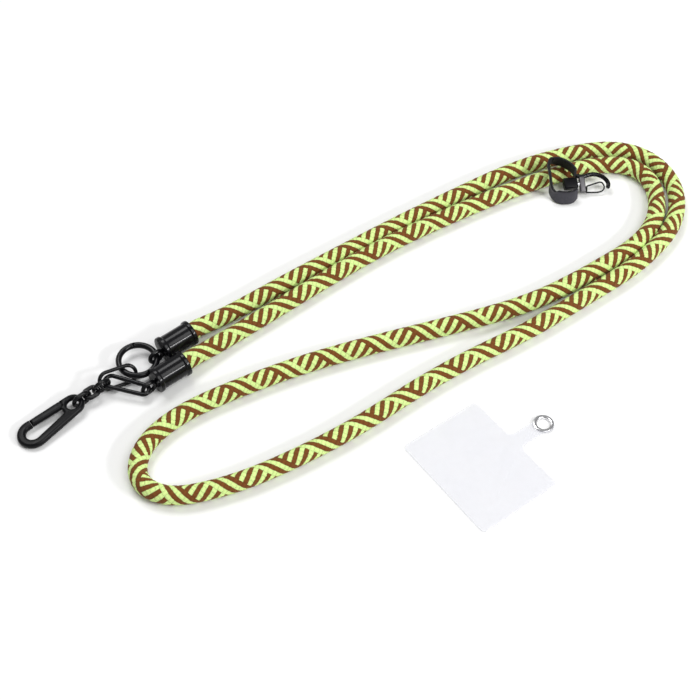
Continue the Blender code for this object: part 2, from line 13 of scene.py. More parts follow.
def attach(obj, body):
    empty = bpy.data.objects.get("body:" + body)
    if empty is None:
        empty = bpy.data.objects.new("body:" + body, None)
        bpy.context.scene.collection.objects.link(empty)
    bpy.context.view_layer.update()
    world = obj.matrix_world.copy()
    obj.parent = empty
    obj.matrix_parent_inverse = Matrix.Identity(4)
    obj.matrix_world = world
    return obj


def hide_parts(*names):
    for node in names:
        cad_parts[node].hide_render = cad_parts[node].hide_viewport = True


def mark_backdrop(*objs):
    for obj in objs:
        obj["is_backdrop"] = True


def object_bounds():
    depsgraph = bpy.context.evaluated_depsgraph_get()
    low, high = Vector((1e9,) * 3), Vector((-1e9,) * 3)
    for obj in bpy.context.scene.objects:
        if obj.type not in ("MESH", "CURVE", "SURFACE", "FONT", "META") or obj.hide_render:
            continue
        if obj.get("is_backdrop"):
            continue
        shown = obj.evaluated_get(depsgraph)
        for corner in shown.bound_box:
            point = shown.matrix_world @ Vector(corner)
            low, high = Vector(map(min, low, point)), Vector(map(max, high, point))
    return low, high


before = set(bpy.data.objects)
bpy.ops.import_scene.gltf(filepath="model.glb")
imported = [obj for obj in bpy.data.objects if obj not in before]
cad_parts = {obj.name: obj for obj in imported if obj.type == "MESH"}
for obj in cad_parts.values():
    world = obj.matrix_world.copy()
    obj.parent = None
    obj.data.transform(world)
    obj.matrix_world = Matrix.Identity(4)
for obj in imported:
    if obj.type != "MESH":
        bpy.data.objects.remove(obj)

bl_info = {
    "name": "Phone Crossbody Strap",
    "version": (1, 0, 0),
    "blender": (4, 5, 0),
    "location": "View3D > Sidebar > Strap",
    "description": "Adds a braided phone crossbody strap with its hardware, a phone tab and a studio",
    "category": "Add Mesh",
}

MM = 0.001
CENTRE_SHIFT = (7.0, -10.9)
GAP = 0.3
FIXED_BODY = "strap"

# The rope: its middle on the table, from near the upper cap round both bends to near the lower cap.
ROPE_ROUTE = (
    (-65.7, 20.4), (-36.3, 42.4), (-5.5, 65.0), (26.9, 88.2), (60.7, 111.0),
    (96.8, 133.4), (128.0, 146.6), (156.2, 151.6), (176.2, 144.0), (188.3, 121.6), (184.6, 92.0),
    (170.2, 70.0), (153.8, 53.6), (128.8, 34.4), (94.6, 9.9), (63.0, -9.5), (33.4, -30.0),
    (5.6, -51.5), (-22.1, -69.7), (-50.1, -84.6), (-71.7, -92.2), (-88.0, -93.6), (-100.8, -85.7),
    (-101.8, -68.0), (-86.4, -47.5), (-58.5, -30.1), (-23.7, -13.6), (24.6, 3.7), (74.7, 20.3),
    (108.5, 35.6), (142.0, 58.0), (164.4, 77.4), (176.4, 102.8), (172.0, 131.0), (153.0, 138.2),
    (126.0, 131.2), (90.0, 114.3), (55.0, 94.2), (21.6, 72.8), (-9.4, 49.3), (-38.7, 25.2),
    (-66.6, 2.3),
)
ROPE_STRAIGHT = 5.0
ROPE_LIFT = 0.02
ROPE_PATH_POINTS = 700
ROPE_RINGS = 1900
ROPE_SIDES = 48
# How thick the rope lies: share of its length, share of its diameter.
ROPE_GIRTH = ((0.0, 0.985), (0.5, 0.985), (0.58, 1.03), (0.76, 1.03), (0.84, 0.985), (1.0, 0.985))
# How far the braid has turned along the rope, which is stretched and bunched up as it lies: distance in
# millimetres, turns.
BRAID_TURNS = (
    (0.0, -1.12), (60.0, 1.20), (120.0, 3.50), (180.0, 5.72), (240.0, 7.86), (330.0, 11.08), (390.0, 13.22),
    (450.0, 15.43), (540.0, 18.83), (630.0, 22.36), (680.0, 24.36), (720.0, 26.06), (760.0, 27.71),
    (840.0, 30.92), (960.0, 35.56), (1080.0, 40.05), (1150.0, 42.72), (1215.0, 45.08), (1300.0, 48.34),
    (1407.0, 52.39),
)
STRANDS_EACH_WAY = 8.0
YARNS_PER_STRAND = 3.0
BRAID_RELIEF = 0.42
# Pairs of values: how high a strand stands at its ends and in its middle; how light the braid is painted at a
# strand's edge and crest, as painted shade in the crease between strands and a painted highlight on the crest;
# the same painted shade at a yarn's edge against its crest; and how light the yarn's own colour is from patch
# to patch.
STRAND_BOW = (0.45, 1.0)
# Painted shade at a strand's edge and a painted highlight on its crest.
STRAND_PAINTED_SHADE_AND_HIGHLIGHT = (0.52, 1.05)
# Painted shade at a yarn's edge.
YARN_PAINTED_SHADE = (0.80, 1.0)
MOTTLE_SHADE = (0.9, 1.1)
YARN_TWISTS = 5.0

CAP_HEIGHT = 6.9
CAP_LENGTH = 18.8
CAP_BODY_RADIUS = 6.2
CAP_RIM_RADIUS = 6.9
CAP_RIM_LENGTH = 2.0
CAP_SOCKET_RADIUS = 5.4
CAP_SOCKET_DEPTH = 1.6
CAP_RIM_SLOPE = 0.3
CAP_ROUNDING = 0.45
CAP_SIDES = 96
CAPS = {
    "end_cap_upper": ((-97.9, -5.6), (-83.5, 6.7)),
    "end_cap_lower": ((-99.6, -26.1), (-85.7, -14.3)),
}
EYE_WIRE = 2.0
EYE_LENGTH = 9.4
EYE_WIDTH = 8.4
EYE_REACH = 3.9
EYE_DROP = 2.3

LINK_WIRE = 2.0
# The solids keep the wires apart by a clearance. Most are drawn thicker than their solids, as they are in the
# photograph, but not the slim links and the ring's gate, which have no room for it.
LINK_LOOK = 2.3
SLIM_LINKS = ("swivel_collar", "long_link_ring")
EYE_LOOK = 2.2
RING_LOOK = 3.3
RING_GATE_LOOK = 3.1
HOOK_LOOK = 2.5
WIRE_SIDES = 24
WIRE_RING_SPACING = 0.22
WIRE_FEWEST_RINGS = 12
SEAM_PLACE = 0.75
SEAM_WIDTH = 0.5
SEAM_SWELL = 0.07
# Middle, the way of the long axis, roll in degrees, outer length, width at the axis's start and end.
LINKS = {
    "long_link_ring": ((-119.1, -22.3, 5.15), (0.86, 0.50, -0.12), 51.5, 21.7, 10.9, 10.9),
    "long_link_cap": ((-113.8, -28.0, 5.65), (0.96, -0.27, -0.05), 5.0, 25.7, 8.7, 7.7),
    "chain_link_1": ((-135.8, -36.1, 4.7), (0.75, 0.66, 0.06), 90.8, 11.0, 8.7, 8.7),
    "chain_link_2": ((-131.4, -32.3, 5.35), (0.77, 0.64, 0.01), 5.0, 9.7, 7.3, 7.3),
    "swivel_collar": ((-126.7, -28.5, 5.5), (0.79, 0.62, 0.01), 103.0, 11.0, 11.0, 11.0),
}

RING_CENTRE = (-110.1, -11.0, 5.05)
RING_RADIUS = 9.8
RING_SLOPE = (-0.075, 0.05)
RING_HINGE = 115.0
RING_SLIT = 215.5
RING_JOINT_GAP = 0.1
RING_SIDES = 32
RING_BODY_POINTS = 120
RING_GATE_POINTS = 60
# The knuckle's rings stop just short of its poles, in degrees.
RING_KNUCKLE_END = 89.9
SLIT_GAP = 0.5
SLIT_SPARE = 15.0
SLIT_REACH = 6.0
SLIT_HALF_ANGLE = 25.0
CUTTER_HEIGHT = 12.0

# The middle of the carabiner's eye, where it hangs on the chain.
CARABINER_EYE = (-139.96, -39.36, 4.31)
CARABINER_HEADING = 43.5
CARABINER_TILT = 4.6
CARABINER_HEIGHT = 3.4
CARABINER_BAR = 4.4
CARABINER_BEND = 8.2
CARABINER_LENGTH = 24.4
CARABINER_EYE_RADIUS = 6.0
CARABINER_HOLE_RADIUS = 3.1
CARABINER_NECK_RADIUS = 1.6
CARABINER_ROUNDING = 1.45
CARABINER_KNUCKLE = 2.2
CARABINER_NOSE_X = 2.4
CARABINER_HINGE_SETBACK = 5.4
CARABINER_PIN_RADIUS = 0.9
GATE_SLOT_SPARE = 2.0
GATE_INSET = 0.2

BAND_WIDTH = 8.4
BAND_THICKNESS = 1.6
BAND_STEPS = 150
BAND_CORNER_POWER = 5.0
BAND_SECTION = 28
# How dark the band's inside and edges are painted, as painted shade, against the rubber's own colour.
BAND_PAINTED_SHADE_SHARE = 0.25
BAND_MOTTLE_SHARE = 1.6
# The keeper's band: middle of the strip, then the way its width points.
BAND_STATIONS = (
    ((130.4, 121.4, 14.2), (0.10, -0.55, 0.83)),
    ((129.0, 124.0, 14.6), (0.05, -0.45, 0.89)),
    ((126.6, 127.0, 14.7), (0.00, -0.32, 0.95)),
    ((123.4, 129.6, 14.7), (0.00, -0.32, 0.95)),
    ((119.8, 131.0, 14.7), (0.00, -0.36, 0.93)),
    ((117.0, 130.6, 14.7), (-0.08, -0.50, 0.86)),
    ((115.8, 128.2, 14.6), (-0.14, -0.62, 0.77)),
    ((115.6, 124.6, 13.9), (-0.16, -0.66, 0.73)),
    ((115.8, 120.0, 13.5), (-0.16, -0.62, 0.76)),
    ((116.4, 115.6, 10.0), (-0.12, -0.42, 0.90)),
    ((118.0, 113.2, 5.9), (-0.05, -0.10, 0.99)),
    ((121.0, 111.2, 4.7), (0.00, 0.18, 0.98)),
    ((125.2, 110.6, 4.5), (0.00, 0.26, 0.97)),
    ((129.2, 111.6, 4.6), (0.00, 0.22, 0.98)),
    ((131.6, 114.0, 4.7), (0.00, 0.12, 0.99)),
)

CLAMP_CENTRE = (128.4, 120.4, 6.3)
CLAMP_SIZE = (8.2, 6.6, 4.4)
CLAMP_TURN = (24.0, 0.0, 8.0)
HOOK_BLOCK_CENTRE = (135.6, 120.9, 4.9)
HOOK_BLOCK_SIZE = (3.4, 9.2, 3.4)
HOOK_BLOCK_TURN = (26.0, 0.0, 4.0)
BLOCK_ROUNDING = 0.8
# The short pin between the clamp and the hook, on which the hook turns.
SWIVEL_PIN = ((132.2, 120.9, 5.6), (133.8, 120.85, 5.6))
SWIVEL_PIN_WIRE = 2.4
HOOK_ARM = (
    (131.6, 125.8, 7.9), (135.6, 125.4, 7.4), (139.2, 126.6, 7.4), (142.8, 127.3, 7.4), (146.4, 126.6, 7.0),
    (149.4, 124.6, 6.2), (150.9, 121.7, 5.1), (150.2, 118.9, 4.1),
)
HOOK_ARM_POINTS = 60
GATE_WIRE = 0.9
GATE_HINGE_WIRE = 1.2
GATE_SIDES = 16
GATE_POINTS = 80
HOOK_GATE = (
    (137.9, 119.3, 5.4), (141.0, 120.5, 5.6), (144.4, 121.9, 5.7), (147.0, 122.5, 5.4),
    (148.4, 121.0, 4.3), (148.2, 119.3, 3.1), (146.4, 118.2, 2.2), (142.6, 117.7, 2.0),
    (137.9, 117.6, 2.0),
)

TAB_CENTRE = (63.6, -73.6)
TAB_SIZE = (47.4, 62.0)
TAB_TURN = 36.5
TAB_THICKNESS = 0.4
TAB_CORNER = 2.5
TAB_NECK_WIDTH = 8.6
TAB_NECK_REACH = 18.2
TAB_NECK_FILLET = 3.0
TAB_HEAD_RADIUS = 5.6
TAB_LIFT = 0.55
TAB_ROUNDING = 0.12
FILM_ROUGHNESS = (0.36, 0.50)
FILM_ALPHA = (0.42, 0.50)
FILM_SIDE_ALPHA = 0.08
EYELET_OUTER = 5.15
EYELET_HOLE = 3.4
EYELET_HEIGHT = 1.5
EYELET_BARREL = 4.0
EYELET_GAP = 0.25
EYELET_ROLL = 0.8
EYELET_LIP = 0.3
EYELET_SIDES = 72

# The camera stands in front of the strap and looks down at the table.
CAMERA_PLACE = (0.0070, -0.4418, 0.5228)
CAMERA_PITCH = 39.5
CAMERA_LENS = 66.1
CAMERA_SENSOR = 36.0
CAMERA_CLIP = (0.01, 50.0)
FLOOR_SIZE = 12.0
# Name, place, the point it is aimed at, width and height in metres, watts.
LIGHTS = (
    ("key", (-0.4, 0.6, 1.4), (0.0, 0.0, 0.0), (1.0, 0.6), 12.0),
    ("fill", (0.7, -0.6, 1.5), (0.0, 0.0, 0.0), (1.0, 0.8), 11.0),
    ("strip", (0.85, -0.50, 0.60), (-0.09, 0.0, 0.0), (0.30, 0.10), 5.0),
)
WORLD_STRENGTH = 0.32

SMOOTH_ANGLE = 35.0
SPLINE_STEPS = 40
# The largest share of a side that a rounded corner takes up.
CORNER_SHARE = 0.45
DISC_ROUNDING = 0.2
# A turned profile starts just off its axis, in millimetres.
AXIS_RADIUS = 0.001
MERGE_DISTANCE = 0.002


def colour_property(name, description, default):
    return bpy.props.FloatVectorProperty(name=name, description=description, default=default, subtype="COLOR")


class StrapSettings(bpy.types.PropertyGroup):
    """Sizes and colours of the strap."""

    rope_diameter: bpy.props.FloatProperty(
        name="Rope Diameter", description="Thickness of the braided rope", default=0.0098, unit="LENGTH"
    )
    braid_lead: bpy.props.FloatProperty(
        name="Braid Lead", description="Mean length of a strand's full turn", default=0.0263, unit="LENGTH"
    )
    first_yarn: colour_property("First Yarn", "Light yarn of the braid", (0.70, 0.90, 0.32))
    second_yarn: colour_property("Second Yarn", "Dark yarn of the braid", (0.190, 0.064, 0.014))
    metal: colour_property("Metal", "Lacquer of the hardware", (0.004, 0.004, 0.005))
    gunmetal: colour_property("Gunmetal", "Bare grey of the small hook", (0.16, 0.155, 0.165))
    band: colour_property("Band", "Rubber of the keeper", (0.040, 0.039, 0.048))
    film: colour_property("Film", "Clear film of the phone tab", (0.82, 0.82, 0.86))
    steel: colour_property("Steel", "Bright steel of the eyelet", (0.86, 0.86, 0.88))
    floor: colour_property("Table", "Colour of the table top", (0.93, 0.93, 0.93))


class Nodes:
    """Adds nodes to a tree and joins values or sockets to their inputs."""

    def __init__(self, tree):
        self.tree = tree

    def add(self, kind, inputs=(), **settings):
        node = self.tree.nodes.new(kind)
        for name, value in settings.items():
            setattr(node, name, value)
        for key, value in dict(inputs).items():
            self.join(value, node.inputs[key])
        return node

    def join(self, value, socket):
        if isinstance(value, bpy.types.NodeSocket):
            self.tree.links.new(value, socket)
        else:
            socket.default_value = value

    def math(self, operation, *values):
        return self.add("ShaderNodeMath", dict(enumerate(values)), operation=operation).outputs[0]

    def plus(self, first, second):
        return self.math("ADD", first, second)

    def minus(self, first, second):
        return self.math("SUBTRACT", first, second)

    def times(self, first, second):
        return self.math("MULTIPLY", first, second)

    def vector(self, operation, *values, output=0):
        return self.add("ShaderNodeVectorMath", dict(enumerate(values)), operation=operation).outputs[output]

    def blend(self, share, first, second):
        """first where share is 0, second where it is 1."""
        return self.plus(first, self.times(share, self.minus(second, first)))

    def hump(self, value):
        """1 in the middle of 0 to 1, and 0 at both ends."""
        return self.times(self.times(value, self.minus(1.0, value)), 4.0)

    def noise(self, where, scale, detail=2.0):
        node = self.add("ShaderNodeTexNoise", {"Vector": where, "Scale": scale, "Detail": detail})
        return node.outputs["Fac"]

    def bump(self, strength, distance, height):
        """A normal that follows a height, whose size is distance in metres."""
        values = {"Strength": strength, "Distance": distance, "Height": height}
        return self.add("ShaderNodeBump", values).outputs[0]

    def read(self, name, kind="FLOAT"):
        """A value kept on the points, in Geometry Nodes."""
        node = self.add("GeometryNodeInputNamedAttribute", {"Name": name}, data_type=kind)
        return node.outputs["Attribute"]

    def keep(self, geometry, name, value, kind="FLOAT"):
        """The geometry with a value kept on its points."""
        inputs = {"Geometry": geometry, "Name": name, "Value": value}
        return self.add("GeometryNodeStoreNamedAttribute", inputs, data_type=kind, domain="POINT").outputs[0]

    def mixed(self, share, first, second, mode="MIX"):
        node = self.add("ShaderNodeMix", data_type="RGBA", blend_type=mode)
        sockets = {socket.identifier: socket for socket in (*node.inputs, *node.outputs)}
        for name, value in (("Factor_Float", share), ("A_Color", first), ("B_Color", second)):
            plain = isinstance(value, (tuple, list)) and len(value) == 3
            self.join((*value, 1.0) if plain else value, sockets[name])
        return sockets["Result_Color"]


def place(x, y, z=0.0):
    """A point of the layout, in millimetres, as metres about the object's origin."""
    return Vector(((x + CENTRE_SHIFT[0]) * MM, (y + CENTRE_SHIFT[1]) * MM, z * MM))


def smooth_path(points, count):
    """Rows evenly spaced along a natural cubic spline through the given ones. The first three columns are
    the position; any others are carried along with it."""
    given = np.array(points, float)
    chord = np.sqrt(np.linalg.norm(np.diff(given[:, :3], axis=0), axis=1))
    knots = np.concatenate([[0.0], np.cumsum(chord)])
    step = np.diff(knots)
    size = len(given)
    system = np.zeros((size, size))
    right = np.zeros_like(given)
    system[0, 0] = 1.0
    system[-1, -1] = 1.0
    for i in range(1, size - 1):
        system[i, i - 1 : i + 2] = step[i - 1], 2.0 * (step[i - 1] + step[i]), step[i]
        slope_after = (given[i + 1] - given[i]) / step[i]
        slope_before = (given[i] - given[i - 1]) / step[i - 1]
        right[i] = 6.0 * (slope_after - slope_before)
    second = np.linalg.solve(system, right)
    fine = np.linspace(0.0, knots[-1], SPLINE_STEPS * size)
    cell = np.clip(np.searchsorted(knots, fine) - 1, 0, size - 2)
    width = step[cell][:, None]
    after = (fine - knots[cell])[:, None]
    before = width - after
    curve = (
        second[cell] * before**3 / (6.0 * width)
        + second[cell + 1] * after**3 / (6.0 * width)
        + (given[cell] / width - second[cell] * width / 6.0) * before
        + (given[cell + 1] / width - second[cell + 1] * width / 6.0) * after
    )
    along = np.concatenate([[0.0], np.cumsum(np.linalg.norm(np.diff(curve[:, :3], axis=0), axis=1))])
    wanted = np.linspace(0.0, along[-1], count)
    return np.stack([np.interp(wanted, along, column) for column in curve.T], axis=1)


def arc(centre, radius, first, last, step=5.0):
    """Points on an arc in the plane, from one angle in degrees to another."""
    count = max(2, round(abs(last - first) / step) + 1)
    angles = np.radians(np.linspace(first, last, count))
    return [(centre[0] + radius * math.cos(a), centre[1] + radius * math.sin(a)) for a in angles]


def oval(length, start_width, end_width, wire):
    """The centre line of a closed link along X, in millimetres, from its outer sizes."""
    start = (start_width - wire) / 2.0
    end = (end_width - wire) / 2.0
    half = (length - wire) / 2.0
    if length == start_width == end_width:
        outline = arc((0.0, 0.0), half, 0.0, 360.0)[:-1]
    else:
        outline = arc((start - half, 0.0), start, 90.0, 270.0) + arc((half - end, 0.0), end, -90.0, 90.0)
    return [Vector((x, y, 0.0)) * MM for x, y in outline]


def rounded_corners(points, reach, steps=4, closed=False):
    """A line in the plane with each corner replaced by a small curve that starts reach before it."""
    size = len(points)
    result = []
    for i, corner in enumerate(points):
        if not closed and i in (0, size - 1):
            result.append(tuple(corner))
            continue
        corner = Vector(corner)
        before = Vector(points[i - 1]) - corner
        after = Vector(points[(i + 1) % size]) - corner
        first = before.normalized() * min(reach, before.length * CORNER_SHARE)
        last = after.normalized() * min(reach, after.length * CORNER_SHARE)
        for k in range(steps + 1):
            t = k / steps
            result.append(tuple(corner + first * (1.0 - t) ** 2 + last * t**2))
    return result


def axes_frame(centre, *axes):
    """The frame at a point of the layout with these X, Y and Z axes."""
    matrix = Matrix(axes).transposed().to_4x4()
    matrix.translation = place(*centre)
    return matrix


def link_frame(centre, along, roll):
    """The matrix of a link whose own X is its long axis, turned about it by roll degrees."""
    x_axis = Vector(along).normalized()
    side = Vector((0.0, 0.0, 1.0)).cross(x_axis).normalized()
    up = x_axis.cross(side)
    turned = Matrix.Rotation(math.radians(roll), 3, x_axis)
    return axes_frame(centre, x_axis, turned @ side, turned @ up)


def turned_frame(centre, turn):
    """A frame at a point of the layout, turned by degrees about X, Y and Z."""
    angles = [math.radians(angle) for angle in turn]
    rotation = Matrix.Rotation(angles[2], 4, "Z") @ Matrix.Rotation(angles[1], 4, "Y")
    return Matrix.Translation(place(*centre)) @ rotation @ Matrix.Rotation(angles[0], 4, "X")


def add_object(name, data):
    obj = bpy.data.objects.new(name, data)
    bpy.context.scene.collection.objects.link(obj)
    return obj


def add_piece(name, mesh, node, material=None, body=FIXED_BODY, sharp=SMOOTH_ANGLE):
    """Adds a finished piece: its material where it has none yet, smooth shading and the body that it moves
    with, and hides the CAD node that it stands for."""
    piece = add_object(name, mesh)
    if material and not mesh.materials:
        mesh.materials.append(material)
    mesh.shade_smooth()
    mesh.set_sharp_from_angle(angle=math.radians(sharp))
    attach(piece, body)
    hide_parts(node)
    return piece


def plain_mesh(obj, name=None):
    """The object's shape, modifiers included, as a closed mesh in world space; the object is removed."""
    graph = bpy.context.evaluated_depsgraph_get()
    mesh = bpy.data.meshes.new_from_object(obj.evaluated_get(graph))
    mesh.transform(obj.matrix_world)
    work = bmesh.new()
    work.from_mesh(mesh)
    bmesh.ops.remove_doubles(work, verts=work.verts, dist=MERGE_DISTANCE * MM)
    bmesh.ops.recalc_face_normals(work, faces=work.faces)
    work.to_mesh(mesh)
    work.free()
    mesh.name = name or obj.name
    bpy.data.objects.remove(obj, do_unlink=True)
    return mesh


def cut(mesh, cutters):
    """The mesh with each cutter mesh taken out of it, in turn."""
    obj = add_object(mesh.name, mesh)
    helpers = []
    for cutter in cutters:
        helper = add_object("cutter", cutter)
        step = obj.modifiers.new("cut", "BOOLEAN")
        step.operation = "DIFFERENCE"
        step.solver = "EXACT"
        step.object = helper
        helpers.append(helper)
    bpy.context.view_layer.update()
    made = plain_mesh(obj)
    for helper in helpers:
        bpy.data.objects.remove(helper, do_unlink=True)
    return made


def joined(name, *parts):
    """One mesh from pairs of a mesh and its material."""
    work = bmesh.new()
    made = bpy.data.meshes.new(name)
    for mesh, material in parts:
        first = len(work.faces)
        work.from_mesh(mesh)
        work.faces.ensure_lookup_table()
        if material.name not in made.materials:
            made.materials.append(material)
        for face in work.faces[first:]:
            face.material_index = made.materials.find(material.name)
    work.to_mesh(made)
    work.free()
    return made


def skin(name, rings, matrix=Matrix.Identity(4), cyclic=False):
    """A closed surface through rings of points, each a closed loop of as many points. An open row of rings
    gets a face at each end."""
    work = bmesh.new()
    rows = [[work.verts.new(matrix @ Vector(point)) for point in ring] for ring in rings]
    size = len(rows[0])
    following = rows[1:] + rows[:1] if cyclic else rows[1:]
    for first, second in zip(rows, following):
        for k in range(size):
            after = (k + 1) % size
            work.faces.new((first[k], first[after], second[after], second[k]))
    if not cyclic:
        work.faces.new(rows[0][::-1])
        work.faces.new(rows[-1])
    bmesh.ops.recalc_face_normals(work, faces=work.faces)
    mesh = bpy.data.meshes.new(name)
    work.to_mesh(mesh)
    work.free()
    return mesh


def turned_rings(profile, sides=64):
    """Rings round Z for a profile of (radius, height) in millimetres."""
    angles = np.linspace(0.0, math.tau, sides, endpoint=False)
    return [[Vector((r * math.cos(a), r * math.sin(a), z)) * MM for a in angles] for r, z in profile]


def flat_plate(name, outlines, height, matrix, rounding=0.0):
    """A flat plate from closed outlines in millimetres: the first is its edge, the rest are holes."""
    curve = bpy.data.curves.new(name, "CURVE")
    curve.dimensions = "2D"
    curve.fill_mode = "BOTH"
    curve.extrude = (height / 2.0 - rounding) * MM
    curve.bevel_depth = rounding * MM
    curve.bevel_resolution = 4 if rounding else 0
    curve.offset = -rounding * MM
    for outline in outlines:
        spline = curve.splines.new("POLY")
        spline.points.add(len(outline) - 1)
        for point, (x, y) in zip(spline.points, outline):
            point.co = (x * MM, y * MM, 0.0, 1.0)
        spline.use_cyclic_u = True
    obj = add_object(name, curve)
    obj.matrix_world = matrix
    bpy.context.view_layer.update()
    return plain_mesh(obj, name)


def disc(name, radius, height, matrix):
    """A short cylinder with rounded rims, centred on its frame."""
    half = height / 2.0
    corners = [(AXIS_RADIUS, half), (radius, half), (radius, -half), (AXIS_RADIUS, -half)]
    return skin(name, turned_rings(rounded_corners(corners, DISC_ROUNDING)), matrix)


def braid_cells(nodes, cosine, sine, run):
    """The braid at a point of the rope, from the cosine and sine of the angle round it and the turns made
    so far. Returns how brown it is, and the places across and along the strand on top, from 0 to 1."""
    turn = nodes.math("DIVIDE", nodes.math("ARCTAN2", sine, cosine), math.tau)
    falling = nodes.times(nodes.minus(run, turn), STRANDS_EACH_WAY)
    rising = nodes.times(nodes.plus(run, turn), STRANDS_EACH_WAY)
    i = nodes.math("FLOOR", falling)
    j = nodes.math("FLOOR", rising)
    rising_on_top = nodes.math("FLOORED_MODULO", nodes.plus(i, j), 2.0)
    # Four falling strands in a row copy the rising ones' order, and the next four run against it.
    half = nodes.math("FLOORED_MODULO", i, STRANDS_EACH_WAY)
    against = nodes.math("GREATER_THAN", half, STRANDS_EACH_WAY / 2.0 - 0.5)
    order = nodes.math("FLOORED_MODULO", i, 2.0)
    falling_brown = nodes.math("ABSOLUTE", nodes.minus(order, against))
    rising_brown = nodes.math("FLOORED_MODULO", j, 2.0)
    across_falling = nodes.math("FRACT", falling)
    across_rising = nodes.math("FRACT", rising)
    brown = nodes.blend(rising_on_top, falling_brown, rising_brown)
    across = nodes.blend(rising_on_top, across_falling, across_rising)
    lengthwise = nodes.blend(rising_on_top, across_rising, across_falling)
    return brown, across, lengthwise


def node_group(name, kind, inputs, outputs):
    """A node group, the helper that fills it, and the sockets of its named inputs."""
    tree = bpy.data.node_groups.new(name, kind)
    for way, sockets in (("INPUT", inputs), ("OUTPUT", outputs)):
        for label, value in sockets.items():
            tree.interface.new_socket(label, in_out=way, socket_type=f"NodeSocket{value}")
    nodes = Nodes(tree)
    return tree, nodes, nodes.add("NodeGroupInput").outputs


def shape_tree(name, **values):
    """A Geometry Nodes tree with a mesh line in, a mesh out and named values. An underscore is a space."""
    inputs = {label.replace("_", " "): kind for label, kind in values.items()}
    both = {"Geometry": "Geometry"}
    common = {"Diameter": "Float", "Rings": "Int", "Sides": "Int", "Material": "Material"}
    return node_group(name, "GeometryNodeTree", {**both, **common, **inputs}, both)


def tube_nodes(nodes, given):
    """A tube along the mesh line. Returns its geometry and, for each point, its place along the line, the way
    out from the line, and the line's heading there."""
    line = nodes.add("GeometryNodeMeshToCurve", {"Mesh": given["Geometry"]}).outputs[0]
    line = nodes.add("GeometryNodeResampleCurve", {"Curve": line, "Count": given["Rings"]}).outputs[0]
    kept = (
        ("along", "FLOAT", nodes.add("GeometryNodeSplineParameter").outputs["Length"]),
        ("middle", "FLOAT_VECTOR", nodes.add("GeometryNodeInputPosition").outputs[0]),
        ("heading", "FLOAT_VECTOR", nodes.add("GeometryNodeInputTangent").outputs[0]),
    )
    for name, kind, value in kept:
        line = nodes.keep(line, name, value, kind)
    radius = nodes.math("DIVIDE", given["Diameter"], 2.0)
    section = nodes.add("GeometryNodeCurvePrimitiveCircle", {"Resolution": given["Sides"], "Radius": radius})
    tube = nodes.add(
        "GeometryNodeCurveToMesh",
        {"Curve": line, "Profile Curve": section.outputs["Curve"], "Fill Caps": True},
    ).outputs[0]
    along, middle, heading = (nodes.read(name, kind) for name, kind, value in kept)
    position = nodes.add("GeometryNodeInputPosition").outputs[0]
    outwards = nodes.vector("NORMALIZE", nodes.vector("SUBTRACT", position, middle))
    return tube, along, outwards, heading


def angle_nodes(nodes, outwards, heading):
    """The cosine and sine of a point's angle about the line, from the left side over the top."""
    left = nodes.vector("NORMALIZE", nodes.vector("CROSS_PRODUCT", (0.0, 0.0, 1.0), heading))
    up = nodes.vector("CROSS_PRODUCT", heading, left)
    cosine = nodes.vector("DOT_PRODUCT", outwards, left, output="Value")
    sine = nodes.vector("DOT_PRODUCT", outwards, up, output="Value")
    return cosine, sine


def moved_along(nodes, way, distance):
    return nodes.add("ShaderNodeVectorMath", {0: way, "Scale": distance}, operation="SCALE").outputs[0]


def end_nodes(nodes, given, geometry, offset):
    """Moves the points, then closes the tree with its material and its output."""
    moved = nodes.add("GeometryNodeSetPosition", {"Geometry": geometry, "Offset": offset}).outputs[0]
    smooth = nodes.add("GeometryNodeSetShadeSmooth", {"Geometry": moved}).outputs[0]
    real = nodes.add("GeometryNodeRealizeInstances", {"Geometry": smooth}).outputs[0]
    painted = nodes.add("GeometryNodeSetMaterial", {"Geometry": real, "Material": given["Material"]})
    nodes.add("NodeGroupOutput", {0: painted.outputs[0]})


def braid_tree():
    """A rope: a tube whose strands stand up where they cross over each other."""
    tree, nodes, given = shape_tree("braided rope", Relief="Float")
    tube, _, outwards, heading = tube_nodes(nodes, given)
    cosine, sine = angle_nodes(nodes, outwards, heading)
    girth = nodes.read("girth")
    turns = nodes.read("turns")
    _, across, lengthwise = braid_cells(nodes, cosine, sine, turns)
    thicker = nodes.times(nodes.minus(girth, 1.0), nodes.math("DIVIDE", given["Diameter"], 2.0))
    crown = nodes.math("SQRT", nodes.hump(across))
    bow = nodes.blend(nodes.hump(lengthwise), *STRAND_BOW)
    sunk = nodes.minus(nodes.times(crown, bow), 1.0)
    height = nodes.plus(nodes.times(sunk, given["Relief"]), thicker)
    place_on_rope = nodes.add("ShaderNodeCombineXYZ", {0: cosine, 1: sine, 2: turns}).outputs[0]
    marked = nodes.keep(tube, "braid", place_on_rope, "FLOAT_VECTOR")
    offset = nodes.add("ShaderNodeSeparateXYZ", {0: moved_along(nodes, outwards, height)}).outputs
    position = nodes.add("GeometryNodeInputPosition").outputs[0]
    above = nodes.add("ShaderNodeSeparateXYZ", {0: position}).outputs[2]
    # The rope lies flat on the table where its own weight presses it down.
    fall = nodes.math("MAXIMUM", offset[2], nodes.minus(ROPE_LIFT * MM, above))
    offset = nodes.add("ShaderNodeCombineXYZ", {0: offset[0], 1: offset[1], 2: fall}).outputs[0]
    end_nodes(nodes, given, marked, offset)
    return tree


